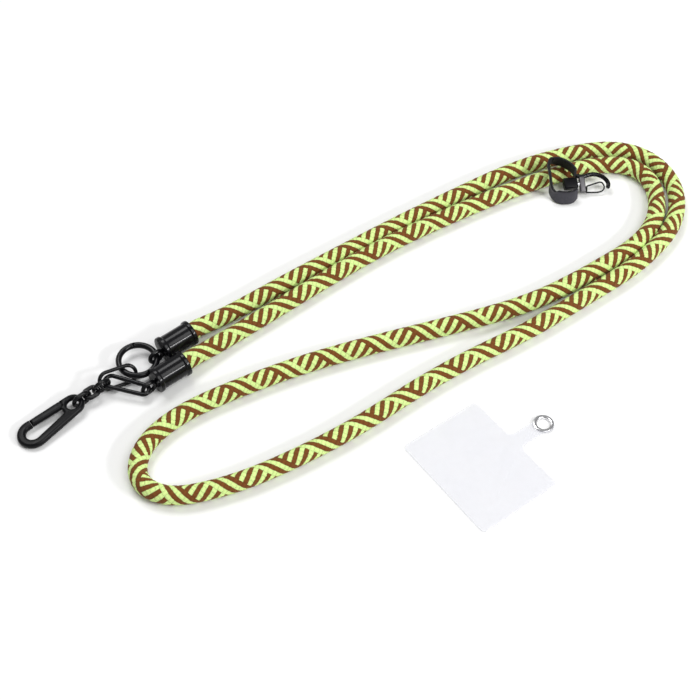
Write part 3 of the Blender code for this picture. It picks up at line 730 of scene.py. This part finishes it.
def wire_tree():
    """A round wire with a small swell at its seam and, where asked, rounded ends."""
    tree, nodes, given = shape_tree(
        "forged wire", Seam_Place="Float", Seam_Width="Float", Seam_Swell="Float", Round_Ends="Float"
    )
    tube, along, outwards, _ = tube_nodes(nodes, given)
    from_seam = nodes.math("DIVIDE", nodes.minus(along, given["Seam Place"]), given["Seam Width"])
    fall = nodes.math("EXPONENT", nodes.times(nodes.times(from_seam, from_seam), -1.0))
    swell = nodes.times(fall, given["Seam Swell"])
    radius = nodes.math("DIVIDE", given["Diameter"], 2.0)
    from_end = nodes.math("MINIMUM", along, nodes.minus(nodes.read("length"), along))
    short = nodes.math("MAXIMUM", nodes.minus(1.0, nodes.math("DIVIDE", from_end, radius)), 0.0)
    rest = nodes.math("MAXIMUM", nodes.minus(1.0, nodes.math("POWER", short, 2.0)), 0.0)
    narrower = nodes.times(nodes.minus(nodes.math("SQRT", rest), 1.0), given["Round Ends"])
    height = nodes.plus(nodes.times(narrower, radius), swell)
    end_nodes(nodes, given, tube, moved_along(nodes, outwards, height))
    return tree


def from_nodes(name, tree, points, values, cyclic=False, attributes=()):
    """The plain mesh that a node tree makes of a line of points."""
    line = bpy.data.meshes.new(name)
    edges = [(i, i + 1) for i in range(len(points) - 1)] + [(len(points) - 1, 0)] * cyclic
    line.from_pydata([tuple(point) for point in points], edges, [])
    for label, numbers in dict(attributes).items():
        line.attributes.new(label, "FLOAT", "POINT").data.foreach_set("value", np.array(numbers, np.float32))
    carrier = add_object(name, line)
    step = carrier.modifiers.new("nodes", "NODES")
    step.node_group = tree
    identifiers = {item.name: item.identifier for item in tree.interface.items_tree if item.in_out == "INPUT"}
    for label, value in values.items():
        step[identifiers[label]] = value
    bpy.context.view_layer.update()
    graph = bpy.context.evaluated_depsgraph_get()
    mesh = bpy.data.meshes.new_from_object(carrier.evaluated_get(graph))
    mesh.name = name
    bpy.data.objects.remove(carrier, do_unlink=True)
    return mesh


def path_length(points, cyclic=False):
    row = np.array([tuple(p) for p in points])
    if cyclic:
        row = np.concatenate([row, row[:1]])
    return float(np.linalg.norm(np.diff(row, axis=0), axis=1).sum())


def wire(name, points, diameter, material, cyclic=False, seam=None, round_ends=0.0, sides=WIRE_SIDES):
    """A round wire through points in metres. seam is the share of its length where it was closed."""
    length = path_length(points, cyclic)
    values = {
        "Diameter": diameter * MM,
        "Rings": max(WIRE_FEWEST_RINGS, round(length / (WIRE_RING_SPACING * MM))),
        "Sides": sides,
        "Seam Place": (seam or 0.0) * length,
        "Seam Width": SEAM_WIDTH * MM,
        "Seam Swell": SEAM_SWELL * MM if seam else 0.0,
        "Round Ends": round_ends,
        "Material": material,
    }
    tree = bpy.data.node_groups.get("forged wire") or wire_tree()
    return from_nodes(name, tree, points, values, cyclic, {"length": [length] * len(points)})


def lacquer_group():
    """Painted metal: an uneven coat, faint smudges and fine specks of dust."""
    found = bpy.data.node_groups.get("lacquer")
    if found:
        return found
    tree, nodes, given = node_group(
        "lacquer", "ShaderNodeTree",
        {"Color": "Color", "Speck Color": "Color", "Roughness": "Float", "Peel": "Float"},
        {"Color": "Color", "Roughness": "Float", "Normal": "Vector"},
    )
    where = nodes.add("ShaderNodeTexCoord").outputs["Object"]
    speck = nodes.math("GREATER_THAN", nodes.noise(where, 2600.0, 1.0), 0.72)
    colour = nodes.mixed(nodes.times(speck, 0.5), given["Color"], given["Speck Color"])
    smudge = nodes.times(nodes.minus(nodes.noise(where, 240.0, 3.0), 0.5), 0.22)
    rough = nodes.plus(nodes.plus(given["Roughness"], smudge), nodes.times(speck, 0.2))
    peel = nodes.bump(given["Peel"], 0.00004, nodes.noise(where, 1500.0))
    nodes.add("NodeGroupOutput", {"Color": colour, "Roughness": rough, "Normal": peel})
    return tree


def new_material(name):
    made = bpy.data.materials.new(name)
    made.use_nodes = True
    nodes = Nodes(made.node_tree)
    return made, nodes, made.node_tree.nodes["Principled BSDF"].inputs


def lacquered(name, colour, roughness, peel, metallic=0.0, coat=0.0, specular=0.5):
    """A painted or plated metal. peel is how uneven its surface is."""
    found = bpy.data.materials.get(name)
    if found:
        return found
    made, nodes, shader = new_material(name)
    group = nodes.add("ShaderNodeGroup", node_tree=lacquer_group())
    lighter = [min(1.0, part * 3.0 + 0.02) for part in colour]
    for label, value in (
        ("Color", (*colour, 1.0)), ("Speck Color", (*lighter, 1.0)), ("Roughness", roughness), ("Peel", peel)
    ):
        group.inputs[label].default_value = value
    nodes.join(group.outputs["Color"], shader["Base Color"])
    nodes.join(group.outputs["Roughness"], shader["Roughness"])
    nodes.join(group.outputs["Normal"], shader["Normal"])
    shader["Metallic"].default_value = metallic
    shader["Coat Weight"].default_value = coat
    shader["Specular IOR Level"].default_value = specular
    shader["Coat Roughness"].default_value = 0.12
    return made


def gloss_metal(settings):
    return lacquered(
        "black gloss lacquer", settings.metal, roughness=0.26, peel=0.18, coat=0.20, specular=0.13
    )


def satin_metal(settings):
    return lacquered("black satin lacquer", settings.metal, roughness=0.33, peel=0.30, specular=0.14)


def grey_metal(settings):
    return lacquered("grey plating", settings.gunmetal, roughness=0.40, peel=0.4, metallic=0.7)


def bright_metal(settings):
    return lacquered("bright steel", settings.steel, roughness=0.16, peel=0.15, metallic=1.0)


def braid_material(settings):
    """Lime and brown yarn in the braid's own pattern, with the yarns' lines and a little fuzz, and with
    painted shade between strands and yarns and a painted highlight on each strand's crest.
    """
    made, nodes, shader = new_material("braided yarn")
    where = nodes.add("ShaderNodeTexCoord").outputs["Object"]
    rope = nodes.add("ShaderNodeAttribute", attribute_name="braid").outputs["Vector"]
    parts = nodes.add("ShaderNodeSeparateXYZ", {0: rope}).outputs
    fuzz = nodes.times(nodes.minus(nodes.noise(where, 1400.0), 0.5), 0.035)
    run = nodes.plus(parts[2], fuzz)
    brown, across, lengthwise = braid_cells(nodes, parts[0], parts[1], run)
    yarn = nodes.math("FRACT", nodes.times(across, YARNS_PER_STRAND))
    twist = nodes.math("FRACT", nodes.plus(nodes.times(lengthwise, YARN_TWISTS), yarn))
    crest = nodes.math("SQRT", nodes.hump(yarn))
    edge = nodes.math("SQRT", nodes.hump(across))
    # Painted shade: the colour is darker at each strand's and yarn's edge, and a little lighter on a strand's
    # crest as a painted highlight.
    painted_relief_shade = nodes.times(nodes.blend(edge, *STRAND_PAINTED_SHADE_AND_HIGHLIGHT), nodes.blend(crest, *YARN_PAINTED_SHADE))
    mottle = nodes.blend(nodes.noise(where, 420.0), *MOTTLE_SHADE)
    shade = nodes.times(painted_relief_shade, mottle)
    colour = nodes.mixed(brown, settings.first_yarn[:], settings.second_yarn[:])
    # The painted shade and the yarn's own patchy tone together multiply the yarn colour.
    grey = nodes.add("ShaderNodeCombineColor", {0: shade, 1: shade, 2: shade}).outputs[0]
    nodes.join(nodes.mixed(1.0, colour, grey, "MULTIPLY"), shader["Base Color"])
    yarns = nodes.plus(nodes.times(crest, 0.5), nodes.times(nodes.hump(twist), 0.25))
    height = nodes.plus(yarns, nodes.times(nodes.noise(where, 3000.0), 0.6))
    nodes.join(nodes.bump(0.6, 0.00015, height), shader["Normal"])
    nodes.join(nodes.blend(brown, 0.78, 0.88), shader["Roughness"])
    shader["Sheen Weight"].default_value = 0.06
    shader["Specular IOR Level"].default_value = 0.18
    return made


def band_material(settings):
    """Dark rubber with a fine pebbled grain, grey outside, with painted shade that makes it black inside and
    on its edges.
    """
    made, nodes, shader = new_material("band rubber")
    where = nodes.add("ShaderNodeTexCoord").outputs["Object"]
    cells = nodes.add("ShaderNodeTexVoronoi", {"Vector": where, "Scale": 1500.0}).outputs["Distance"]
    soft = nodes.noise(where, 500.0, 3.0)
    side = nodes.add("ShaderNodeAttribute", attribute_name="outside").outputs["Fac"]
    outer = nodes.add("ShaderNodeMapRange", {"Value": side, "From Min": 0.75, "From Max": 0.95}).outputs[0]
    # Painted shade: the inside and the edges get a much darker copy of the rubber's colour.
    dark = tuple(part * BAND_PAINTED_SHADE_SHARE for part in settings.band)
    light = tuple(min(1.0, part * BAND_MOTTLE_SHARE) for part in settings.band)
    grey = nodes.mixed(soft, settings.band[:], light)
    nodes.join(nodes.mixed(outer, dark, grey), shader["Base Color"])
    nodes.join(nodes.blend(soft, 0.48, 0.66), shader["Roughness"])
    height = nodes.plus(cells, nodes.times(soft, 0.5))
    nodes.join(nodes.bump(0.5, 0.00012, height), shader["Normal"])
    shader["Sheen Weight"].default_value = 0.05
    shader["Specular IOR Level"].default_value = 0.2
    return made


def film_material(settings):
    """Clear soft film: nearly white, a little of the table shows through."""
    made, nodes, shader = new_material("clear film")
    where = nodes.add("ShaderNodeTexCoord").outputs["Object"]
    haze = nodes.noise(where, 90.0, 3.0)
    cooler = tuple(part * share for part, share in zip(settings.film, (0.97, 0.98, 1.0)))
    nodes.join(nodes.mixed(haze, settings.film[:], cooler), shader["Base Color"])
    nodes.join(nodes.blend(haze, *FILM_ROUGHNESS), shader["Roughness"])
    height = nodes.add("ShaderNodeSeparateXYZ", {0: where}).outputs[2]
    top = (TAB_LIFT + TAB_THICKNESS) * MM
    limits = {"Value": height, "From Min": top - TAB_ROUNDING * MM, "From Max": top - 0.02 * MM}
    face = nodes.add("ShaderNodeMapRange", limits).outputs[0]
    nodes.join(nodes.blend(face, FILM_SIDE_ALPHA, nodes.blend(haze, *FILM_ALPHA)), shader["Alpha"])
    nodes.join(nodes.bump(0.12, 0.0003, nodes.noise(where, 60.0)), shader["Normal"])
    return made


def rope_points(settings):
    """The rope's centre line in metres, from one cap's socket to the other's."""
    height = settings.rope_diameter / MM / 2.0 + ROPE_LIFT
    ends = []
    for front, mouth in CAPS.values():
        away = Vector((mouth[0] - front[0], mouth[1] - front[1], 0.0)).normalized()
        middle = Vector((*front, CAP_HEIGHT)) + away * CAP_LENGTH
        ends.append((tuple(middle - away * (CAP_SOCKET_DEPTH - GAP)), tuple(middle + away * ROPE_STRAIGHT)))
    lying = [(x, y, height) for x, y in ROPE_ROUTE]
    route = smooth_path([ends[0][1], *lying, ends[1][1]], ROPE_PATH_POINTS)
    return [place(*point) for point in (ends[0][0], *route, ends[1][0])]


def add_rope(settings):
    points = rope_points(settings)
    steps = np.linalg.norm(np.diff(np.array([tuple(p) for p in points]), axis=0), axis=1)
    share = np.concatenate([[0.0], np.cumsum(steps)]) / steps.sum()
    girth = np.interp(share, *np.transpose(ROPE_GIRTH))
    distance, turns = np.transpose(BRAID_TURNS)
    mean_lead = distance[-1] * MM / (turns[-1] - turns[0])
    turns = np.interp(share * distance[-1], distance, turns) * mean_lead / settings.braid_lead
    values = {
        "Diameter": settings.rope_diameter,
        "Rings": ROPE_RINGS,
        "Sides": ROPE_SIDES,
        "Relief": BRAID_RELIEF * MM,
        "Material": braid_material(settings),
    }
    along = {"girth": girth, "turns": turns}
    mesh = from_nodes("braided_rope", braid_tree(), points, values, attributes=along)
    rope = add_piece("braided_rope", mesh, "rope", sharp=80.0)


def cap_profile():
    """Half the cap's section, from the socket's floor over the rims and down to the front."""
    top = CAP_LENGTH
    corners = [
        (AXIS_RADIUS, top - CAP_SOCKET_DEPTH),
        (CAP_SOCKET_RADIUS, top - CAP_SOCKET_DEPTH),
        (CAP_SOCKET_RADIUS, top),
        (CAP_RIM_RADIUS, top),
        (CAP_RIM_RADIUS, top - CAP_RIM_LENGTH),
        (CAP_BODY_RADIUS, top - CAP_RIM_LENGTH - CAP_RIM_SLOPE),
        (CAP_BODY_RADIUS, CAP_RIM_LENGTH + CAP_RIM_SLOPE),
        (CAP_RIM_RADIUS, CAP_RIM_LENGTH),
        (CAP_RIM_RADIUS, 0.0),
        (AXIS_RADIUS, 0.0),
    ]
    return rounded_corners(corners, CAP_ROUNDING, steps=5)


def add_caps(settings):
    metal = gloss_metal(settings)
    for name, (front, mouth) in CAPS.items():
        axis = Vector((mouth[0] - front[0], mouth[1] - front[1], 0.0)).normalized()
        matrix = axis.to_track_quat("Z", "Y").to_matrix().to_4x4()
        matrix.translation = place(*front, CAP_HEIGHT)
        shell = skin(name, turned_rings(cap_profile(), CAP_SIDES), matrix)
        centre = Vector((*front, CAP_HEIGHT - EYE_DROP)) - axis * EYE_REACH
        eye_frame = link_frame(centre, axis, 90.0)
        path = [eye_frame @ p for p in oval(EYE_LENGTH, EYE_WIDTH, EYE_WIDTH, EYE_WIRE)]
        eye = wire(f"{name}_eye", path, EYE_LOOK, metal, cyclic=True)
        add_piece(f"{name}_turned", joined(name, (shell, metal), (eye, metal)), name)


def add_links(settings):
    metal = gloss_metal(settings)
    for name, (centre, along, roll, length, start_width, end_width) in LINKS.items():
        matrix = link_frame(centre, along, roll)
        path = [matrix @ p for p in oval(length, start_width, end_width, LINK_WIRE)]
        look = LINK_WIRE if name in SLIM_LINKS else LINK_LOOK
        link = wire(name, path, look, metal, cyclic=True, seam=SEAM_PLACE)
        add_piece(f"{name}_forged", link, name, sharp=60.0)


def ring_frame():
    normal = Vector((-RING_SLOPE[0], -RING_SLOPE[1], 1.0)).normalized()
    x_axis = Vector((1.0, 0.0, RING_SLOPE[0])).normalized()
    return axes_frame(RING_CENTRE, x_axis, normal.cross(x_axis), normal)


def ring_point(degrees):
    angle = math.radians(degrees)
    return Vector((RING_RADIUS * math.cos(angle), RING_RADIUS * math.sin(angle), 0.0)) * MM


def slit_cutter(name, first_radius, last_radius, hinge):
    """A curved block round the hinge, between two radii, that covers the ring's slit."""
    middle = (RING_HINGE + RING_SLIT) / 2.0 + 90.0
    first = middle - SLIT_HALF_ANGLE
    last = middle + SLIT_HALF_ANGLE
    outline = arc((0.0, 0.0), last_radius, first, last) + arc((0.0, 0.0), first_radius, last, first)
    return flat_plate(name, [outline], CUTTER_HEIGHT, hinge)


def add_gate_ring(settings):
    metal = gloss_metal(settings)
    matrix = ring_frame()
    hinge = matrix @ Matrix.Translation(ring_point(RING_HINGE))
    slit_radius = (ring_point(RING_SLIT) - ring_point(RING_HINGE)).length / MM
    body_angles = np.linspace(RING_SLIT - SLIT_SPARE - 360.0, RING_HINGE, RING_BODY_POINTS)
    body_path = [matrix @ ring_point(a) for a in body_angles]
    body = wire("ring_body", body_path, RING_LOOK, metal, sides=RING_SIDES)
    socket = disc("ring_socket", RING_LOOK / 2.0 + RING_JOINT_GAP, CUTTER_HEIGHT, hinge)
    opening = slit_cutter("body_slit", slit_radius - SLIT_REACH, slit_radius + SLIT_GAP, hinge)
    add_piece("gate_ring_body_forged", cut(body, [socket, opening]), "gate_ring_body", metal)

    gate_angles = np.linspace(RING_HINGE, RING_SLIT + SLIT_SPARE, RING_GATE_POINTS)
    gate_path = [matrix @ ring_point(a) for a in gate_angles]
    gate = wire("ring_gate", gate_path, RING_GATE_LOOK, metal, sides=RING_SIDES)
    gate = cut(gate, [slit_cutter("gate_slit", slit_radius, slit_radius + SLIT_REACH, hinge)])
    ball = arc((0.0, 0.0), RING_LOOK / 2.0, RING_KNUCKLE_END, -RING_KNUCKLE_END)
    gate = joined("ring_gate", (gate, metal), (skin("ring_knuckle", turned_rings(ball), hinge), metal))
    add_piece("gate_ring_gate_forged", gate, "gate_ring_gate", body="ring_gate")


def carabiner_frame():
    eye = Matrix.Translation(place(*CARABINER_EYE))
    heading = Matrix.Rotation(math.radians(CARABINER_HEADING), 4, "Z")
    tilt = Matrix.Rotation(math.radians(-CARABINER_TILT), 4, "Y")
    return eye @ heading @ tilt @ Matrix.Translation((-CARABINER_LENGTH * MM, 0.0, 0.0))


def carabiner_outlines():
    """The pear outline, its window and its eye: tangent lines join each outline's two bends."""
    slope = math.degrees(math.asin((CARABINER_BEND - CARABINER_EYE_RADIUS) / CARABINER_LENGTH))
    outer = arc((0.0, 0.0), CARABINER_BEND, 90.0 - slope, 270.0 + slope)
    outer += arc((CARABINER_LENGTH, 0.0), CARABINER_EYE_RADIUS, -90.0 + slope, 90.0 - slope)
    inner_bend = CARABINER_BEND - CARABINER_BAR
    neck = CARABINER_NECK_RADIUS
    neck_x = CARABINER_LENGTH - CARABINER_EYE_RADIUS - neck
    inner_slope = math.degrees(math.asin((inner_bend - neck) / neck_x))
    window = arc((0.0, 0.0), inner_bend, 90.0 - inner_slope, 270.0 + inner_slope)
    window += arc((neck_x, 0.0), neck, -90.0 + inner_slope, 90.0 - inner_slope)
    return outer, window, arc((CARABINER_LENGTH, 0.0), CARABINER_HOLE_RADIUS, 0.0, 360.0)[:-1]


def gate_bar(x):
    """How far the middle of the gate bar is from the carabiner's own middle, at x along it."""
    slope = (CARABINER_BEND - CARABINER_EYE_RADIUS) / CARABINER_LENGTH
    return CARABINER_BEND - slope * x - CARABINER_BAR / 2.0


def add_carabiner(settings):
    metal = satin_metal(settings)
    matrix = carabiner_frame()
    body = flat_plate("carabiner", carabiner_outlines(), CARABINER_HEIGHT, matrix, CARABINER_ROUNDING)
    nose = Vector((CARABINER_NOSE_X, gate_bar(CARABINER_NOSE_X), 0.0))
    hinge_x = CARABINER_LENGTH - CARABINER_HINGE_SETBACK
    pivot = Vector((hinge_x, gate_bar(hinge_x), 0.0))
    run = (pivot - nose).normalized()
    side = Vector((-run.y, run.x, 0.0))
    half = CARABINER_BAR / 2.0
    wide = side * (half + GATE_SLOT_SPARE)
    opening = [nose + wide, nose - wide, pivot - wide, pivot + wide]
    slot = flat_plate("gate_slot", [[(p.x, p.y) for p in opening]], CUTTER_HEIGHT, matrix)
    hinge = matrix @ Matrix.Translation(pivot * MM)
    socket = disc("hinge_socket", CARABINER_KNUCKLE + GAP, CUTTER_HEIGHT, hinge)
    add_piece("carabiner_body_cast", cut(body, [slot, socket]), "carabiner_body", metal)

    angle = math.degrees(math.atan2(run.y, run.x))
    tip = nose + run * GAP - pivot
    reach = side * (half - GATE_INSET)
    edge = [(tip.x + reach.x, tip.y + reach.y), (tip.x - reach.x, tip.y - reach.y)]
    edge += arc((0.0, 0.0), CARABINER_KNUCKLE, angle - 90.0, angle + 90.0)
    height = CARABINER_HEIGHT - 2.0 * GATE_INSET
    gate = flat_plate("carabiner_gate_bar", [edge], height, hinge, CARABINER_ROUNDING - GATE_INSET)
    pin = disc("gate_pin", CARABINER_PIN_RADIUS, height + GATE_INSET, hinge)
    gate = joined("carabiner_gate", (gate, metal), (pin, metal))
    add_piece("carabiner_gate_cast", gate, "carabiner_gate", body="carabiner_gate")


def add_band(settings):
    """The band, from its flattened section at each step along it. The section's own Y is the outside."""
    stations = smooth_path([middle + way for middle, way in BAND_STATIONS], BAND_STEPS)
    path = stations[:, :3]
    rings = []
    outside = []
    for i, middle in enumerate(path):
        tangent = Vector(path[min(i + 1, len(path) - 1)] - path[max(i - 1, 0)]).normalized()
        width = Vector(stations[i, 3:])
        width = (width - tangent * width.dot(tangent)).normalized()
        normal = tangent.cross(width)
        ring = []
        for k in range(BAND_SECTION):
            angle = math.tau * k / BAND_SECTION
            round_place = (math.cos(angle), math.sin(angle))
            flat = [math.copysign(abs(v) ** (2.0 / BAND_CORNER_POWER), v) for v in round_place]
            offset = width * flat[0] * BAND_WIDTH / 2.0 + normal * flat[1] * BAND_THICKNESS / 2.0
            ring.append(place(*(Vector(middle) + offset)))
            outside.append(flat[1])
        rings.append(ring)
    mesh = skin("keeper_band", rings)
    # The outside value marks the outer face; the band's material paints the inside and edges in shade.
    mesh.attributes.new("outside", "FLOAT", "POINT").data.foreach_set("value", np.array(outside, np.float32))
    add_piece("keeper_band_moulded", mesh, "keeper_band", band_material(settings), sharp=50.0)


def rounded_block(name, size, matrix):
    """A block with rounded edges all round."""
    mesh = bpy.data.meshes.new(name)
    work = bmesh.new()
    bmesh.ops.create_cube(work, size=1.0)
    bmesh.ops.scale(work, vec=Vector(size) * MM, verts=work.verts)
    bmesh.ops.bevel(
        work, geom=work.edges[:], offset=BLOCK_ROUNDING * MM, segments=5, profile=0.5, affect="EDGES",
        clamp_overlap=True,
    )
    work.to_mesh(mesh)
    work.free()
    mesh.transform(matrix)
    return mesh


def add_keeper_metal(settings):
    """The clamp that closes the band, the small hook and its wire gate."""
    satin = satin_metal(settings)
    steel = bright_metal(settings)
    clamp = rounded_block("keeper_clamp", CLAMP_SIZE, turned_frame(CLAMP_CENTRE, CLAMP_TURN))
    pin = wire("swivel_pin", [place(*end) for end in SWIVEL_PIN], SWIVEL_PIN_WIRE, steel)
    clamp = joined("keeper_clamp", (clamp, satin), (pin, steel))
    add_piece("keeper_clamp_pressed", clamp, "keeper_clamp")

    gloss = gloss_metal(settings)
    block = rounded_block("keeper_hook", HOOK_BLOCK_SIZE, turned_frame(HOOK_BLOCK_CENTRE, HOOK_BLOCK_TURN))
    arm_path = [place(*p) for p in smooth_path(HOOK_ARM, HOOK_ARM_POINTS)]
    arm = wire("hook_arm", arm_path, HOOK_LOOK, gloss, round_ends=1.0)
    hook = joined("keeper_hook", (block, grey_metal(settings)), (arm, gloss))
    add_piece("keeper_hook_cast", hook, "keeper_hook")

    gate_path = [place(*p) for p in smooth_path(HOOK_GATE, GATE_POINTS)]
    gate = wire("hook_gate", gate_path, GATE_WIRE, gloss, round_ends=1.0, sides=GATE_SIDES)
    hinge = wire("hook_gate_hinge", [gate_path[0], gate_path[-1]], GATE_HINGE_WIRE, gloss, round_ends=0.3)
    gate = joined("hook_gate", (gate, gloss), (hinge, gloss))
    add_piece("keeper_hook_gate_bent", gate, "keeper_hook_gate", body="hook_gate")


def tab_outline():
    """The card with a filleted neck in the middle of its long side that ends in a round head."""
    edge = TAB_SIZE[0] / 2.0
    half_x = edge - TAB_CORNER
    half_y = TAB_SIZE[1] / 2.0 - TAB_CORNER
    head_x = edge + TAB_NECK_REACH
    half_neck = TAB_NECK_WIDTH / 2.0
    meet = math.degrees(math.asin(half_neck / TAB_HEAD_RADIUS))
    outline = []
    for i, (x, y) in enumerate(((half_x, half_y), (-half_x, half_y), (-half_x, -half_y), (half_x, -half_y))):
        outline += arc((x, y), TAB_CORNER, 90.0 * i, 90.0 * (i + 1))
    fillet_x = edge + TAB_NECK_FILLET
    fillet_y = half_neck + TAB_NECK_FILLET
    outline += arc((fillet_x, -fillet_y), TAB_NECK_FILLET, 180.0, 90.0)
    outline += arc((head_x, 0.0), TAB_HEAD_RADIUS, -180.0 + meet, 180.0 - meet)
    return outline + arc((fillet_x, fillet_y), TAB_NECK_FILLET, -90.0, -180.0), (head_x, 0.0)


def add_tab(settings):
    """The clear phone tab and the steel eyelet in its head."""
    outline, head = tab_outline()
    hole = arc(head, EYELET_BARREL + GAP, 0.0, 360.0)[:-1]
    matrix = Matrix.Translation(place(*TAB_CENTRE)) @ Matrix.Rotation(math.radians(TAB_TURN), 4, "Z")
    lifted = Matrix.Translation((0.0, 0.0, (TAB_LIFT + TAB_THICKNESS / 2.0) * MM)) @ matrix
    tab = flat_plate("phone_tab", [outline, hole], TAB_THICKNESS, lifted, TAB_ROUNDING)
    add_piece("phone_tab_film", tab, "phone_tab", film_material(settings))

    half = EYELET_HEIGHT / 2.0
    groove = TAB_THICKNESS / 2.0 + EYELET_GAP
    lip = half - EYELET_LIP
    upper = [(EYELET_HOLE, half), (EYELET_OUTER, half), (EYELET_OUTER, lip), (EYELET_BARREL, groove)]
    section = rounded_corners(upper + [(r, -z) for r, z in reversed(upper)], EYELET_ROLL, closed=True)
    at_head = matrix @ Matrix.Translation(Vector((*head, half)) * MM)
    eyelet = skin("tab_eyelet", turned_rings(section, EYELET_SIDES), at_head, cyclic=True)
    add_piece("tab_eyelet_rolled", eyelet, "tab_eyelet", bright_metal(settings))


def add_camera():
    data = bpy.data.cameras.new("camera")
    data.lens = CAMERA_LENS
    data.sensor_width = CAMERA_SENSOR
    data.clip_start, data.clip_end = CAMERA_CLIP
    camera = add_object("camera", data)
    camera.location = CAMERA_PLACE
    camera.rotation_euler = (math.radians(CAMERA_PITCH), 0.0, 0.0)
    bpy.context.scene.camera = camera


def add_light(name, location, target, size, power):
    data = bpy.data.lights.new(name, "AREA")
    data.shape = "RECTANGLE"
    data.size, data.size_y = size
    data.energy = power
    lamp = add_object(name, data)
    lamp.location = location
    lamp.rotation_euler = (Vector(target) - Vector(location)).to_track_quat("-Z", "Y").to_euler()
    return lamp


def add_stage(settings):
    """The pale table, soft light and the camera."""
    mesh = bpy.data.meshes.new("table")
    half = FLOOR_SIZE / 2.0
    edge = [(x, y, 0.0) for x, y in ((-half, -half), (half, -half), (half, half), (-half, half))]
    mesh.from_pydata(edge, [], [range(len(edge))])
    paper, nodes, shader = new_material("table paper")
    where = nodes.add("ShaderNodeTexCoord").outputs["Object"]
    warm = tuple(part * 0.985 for part in settings.floor)
    nodes.join(nodes.mixed(nodes.noise(where, 6.0), settings.floor[:], warm), shader["Base Color"])
    shader["Roughness"].default_value = 0.9
    mesh.materials.append(paper)
    table = add_object("table", mesh)
    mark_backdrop(table, *[add_light(*light) for light in LIGHTS])
    world = bpy.data.worlds.new("studio")
    world.use_nodes = True
    background = world.node_tree.nodes["Background"].inputs
    background["Color"].default_value = (1.0, 1.0, 1.0, 1.0)
    background["Strength"].default_value = WORLD_STRENGTH
    bpy.context.scene.world = world
    bpy.context.scene.view_settings.view_transform = "Standard"
    add_camera()


class STRAP_OT_stage(bpy.types.Operator):
    """Add the pale table, the studio light and the camera"""

    bl_idname = "strap.stage"
    bl_label = "Studio"

    def execute(self, context):
        add_stage(context.scene.strap)
        return {"FINISHED"}


class STRAP_OT_rope(bpy.types.Operator):
    """Add the braided rope from cap to cap"""

    bl_idname = "strap.rope"
    bl_label = "Rope"

    def execute(self, context):
        add_rope(context.scene.strap)
        return {"FINISHED"}


class STRAP_OT_caps(bpy.types.Operator):
    """Add the two end caps with their eyes"""

    bl_idname = "strap.caps"
    bl_label = "End Caps"

    def execute(self, context):
        add_caps(context.scene.strap)
        return {"FINISHED"}


class STRAP_OT_links(bpy.types.Operator):
    """Add the long links, the chain links and the collar"""

    bl_idname = "strap.links"
    bl_label = "Links"

    def execute(self, context):
        add_links(context.scene.strap)
        return {"FINISHED"}


class STRAP_OT_ring(bpy.types.Operator):
    """Add the round ring with its sprung gate"""

    bl_idname = "strap.ring"
    bl_label = "Gate Ring"

    def execute(self, context):
        add_gate_ring(context.scene.strap)
        return {"FINISHED"}


class STRAP_OT_carabiner(bpy.types.Operator):
    """Add the carabiner with its gate"""

    bl_idname = "strap.carabiner"
    bl_label = "Carabiner"

    def execute(self, context):
        add_carabiner(context.scene.strap)
        return {"FINISHED"}


class STRAP_OT_keeper(bpy.types.Operator):
    """Add the keeper's band, clamp and small hook"""

    bl_idname = "strap.keeper"
    bl_label = "Keeper"

    def execute(self, context):
        add_band(context.scene.strap)
        add_keeper_metal(context.scene.strap)
        return {"FINISHED"}


class STRAP_OT_tab(bpy.types.Operator):
    """Add the clear phone tab with its eyelet"""

    bl_idname = "strap.tab"
    bl_label = "Phone Tab"

    def execute(self, context):
        add_tab(context.scene.strap)
        return {"FINISHED"}


OPERATORS = (
    STRAP_OT_stage, STRAP_OT_rope, STRAP_OT_caps, STRAP_OT_links, STRAP_OT_ring, STRAP_OT_carabiner,
    STRAP_OT_keeper, STRAP_OT_tab,
)


class STRAP_PT_panel(bpy.types.Panel):
    """Sizes, colours and pieces of the strap"""

    bl_label = "Phone Crossbody Strap"
    bl_idname = "STRAP_PT_panel"
    bl_space_type = "VIEW_3D"
    bl_region_type = "UI"
    bl_category = "Strap"

    def draw(self, context):
        settings = context.scene.strap
        for name in StrapSettings.__annotations__:
            self.layout.prop(settings, name)
        for operator in OPERATORS:
            self.layout.operator(operator.bl_idname)


CLASSES = (StrapSettings, *OPERATORS, STRAP_PT_panel)


def register():
    for cls in CLASSES:
        bpy.utils.register_class(cls)
    bpy.types.Scene.strap = bpy.props.PointerProperty(type=StrapSettings)


def unregister():
    del bpy.types.Scene.strap
    for cls in reversed(CLASSES):
        bpy.utils.unregister_class(cls)


def corners():
    return [list(corner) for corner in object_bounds()]


def main():
    register()
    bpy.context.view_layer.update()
    for operator in OPERATORS:
        group, name = operator.bl_idname.split(".")
        getattr(getattr(bpy.ops, group), name)()


if __name__ == "__main__":
    main()
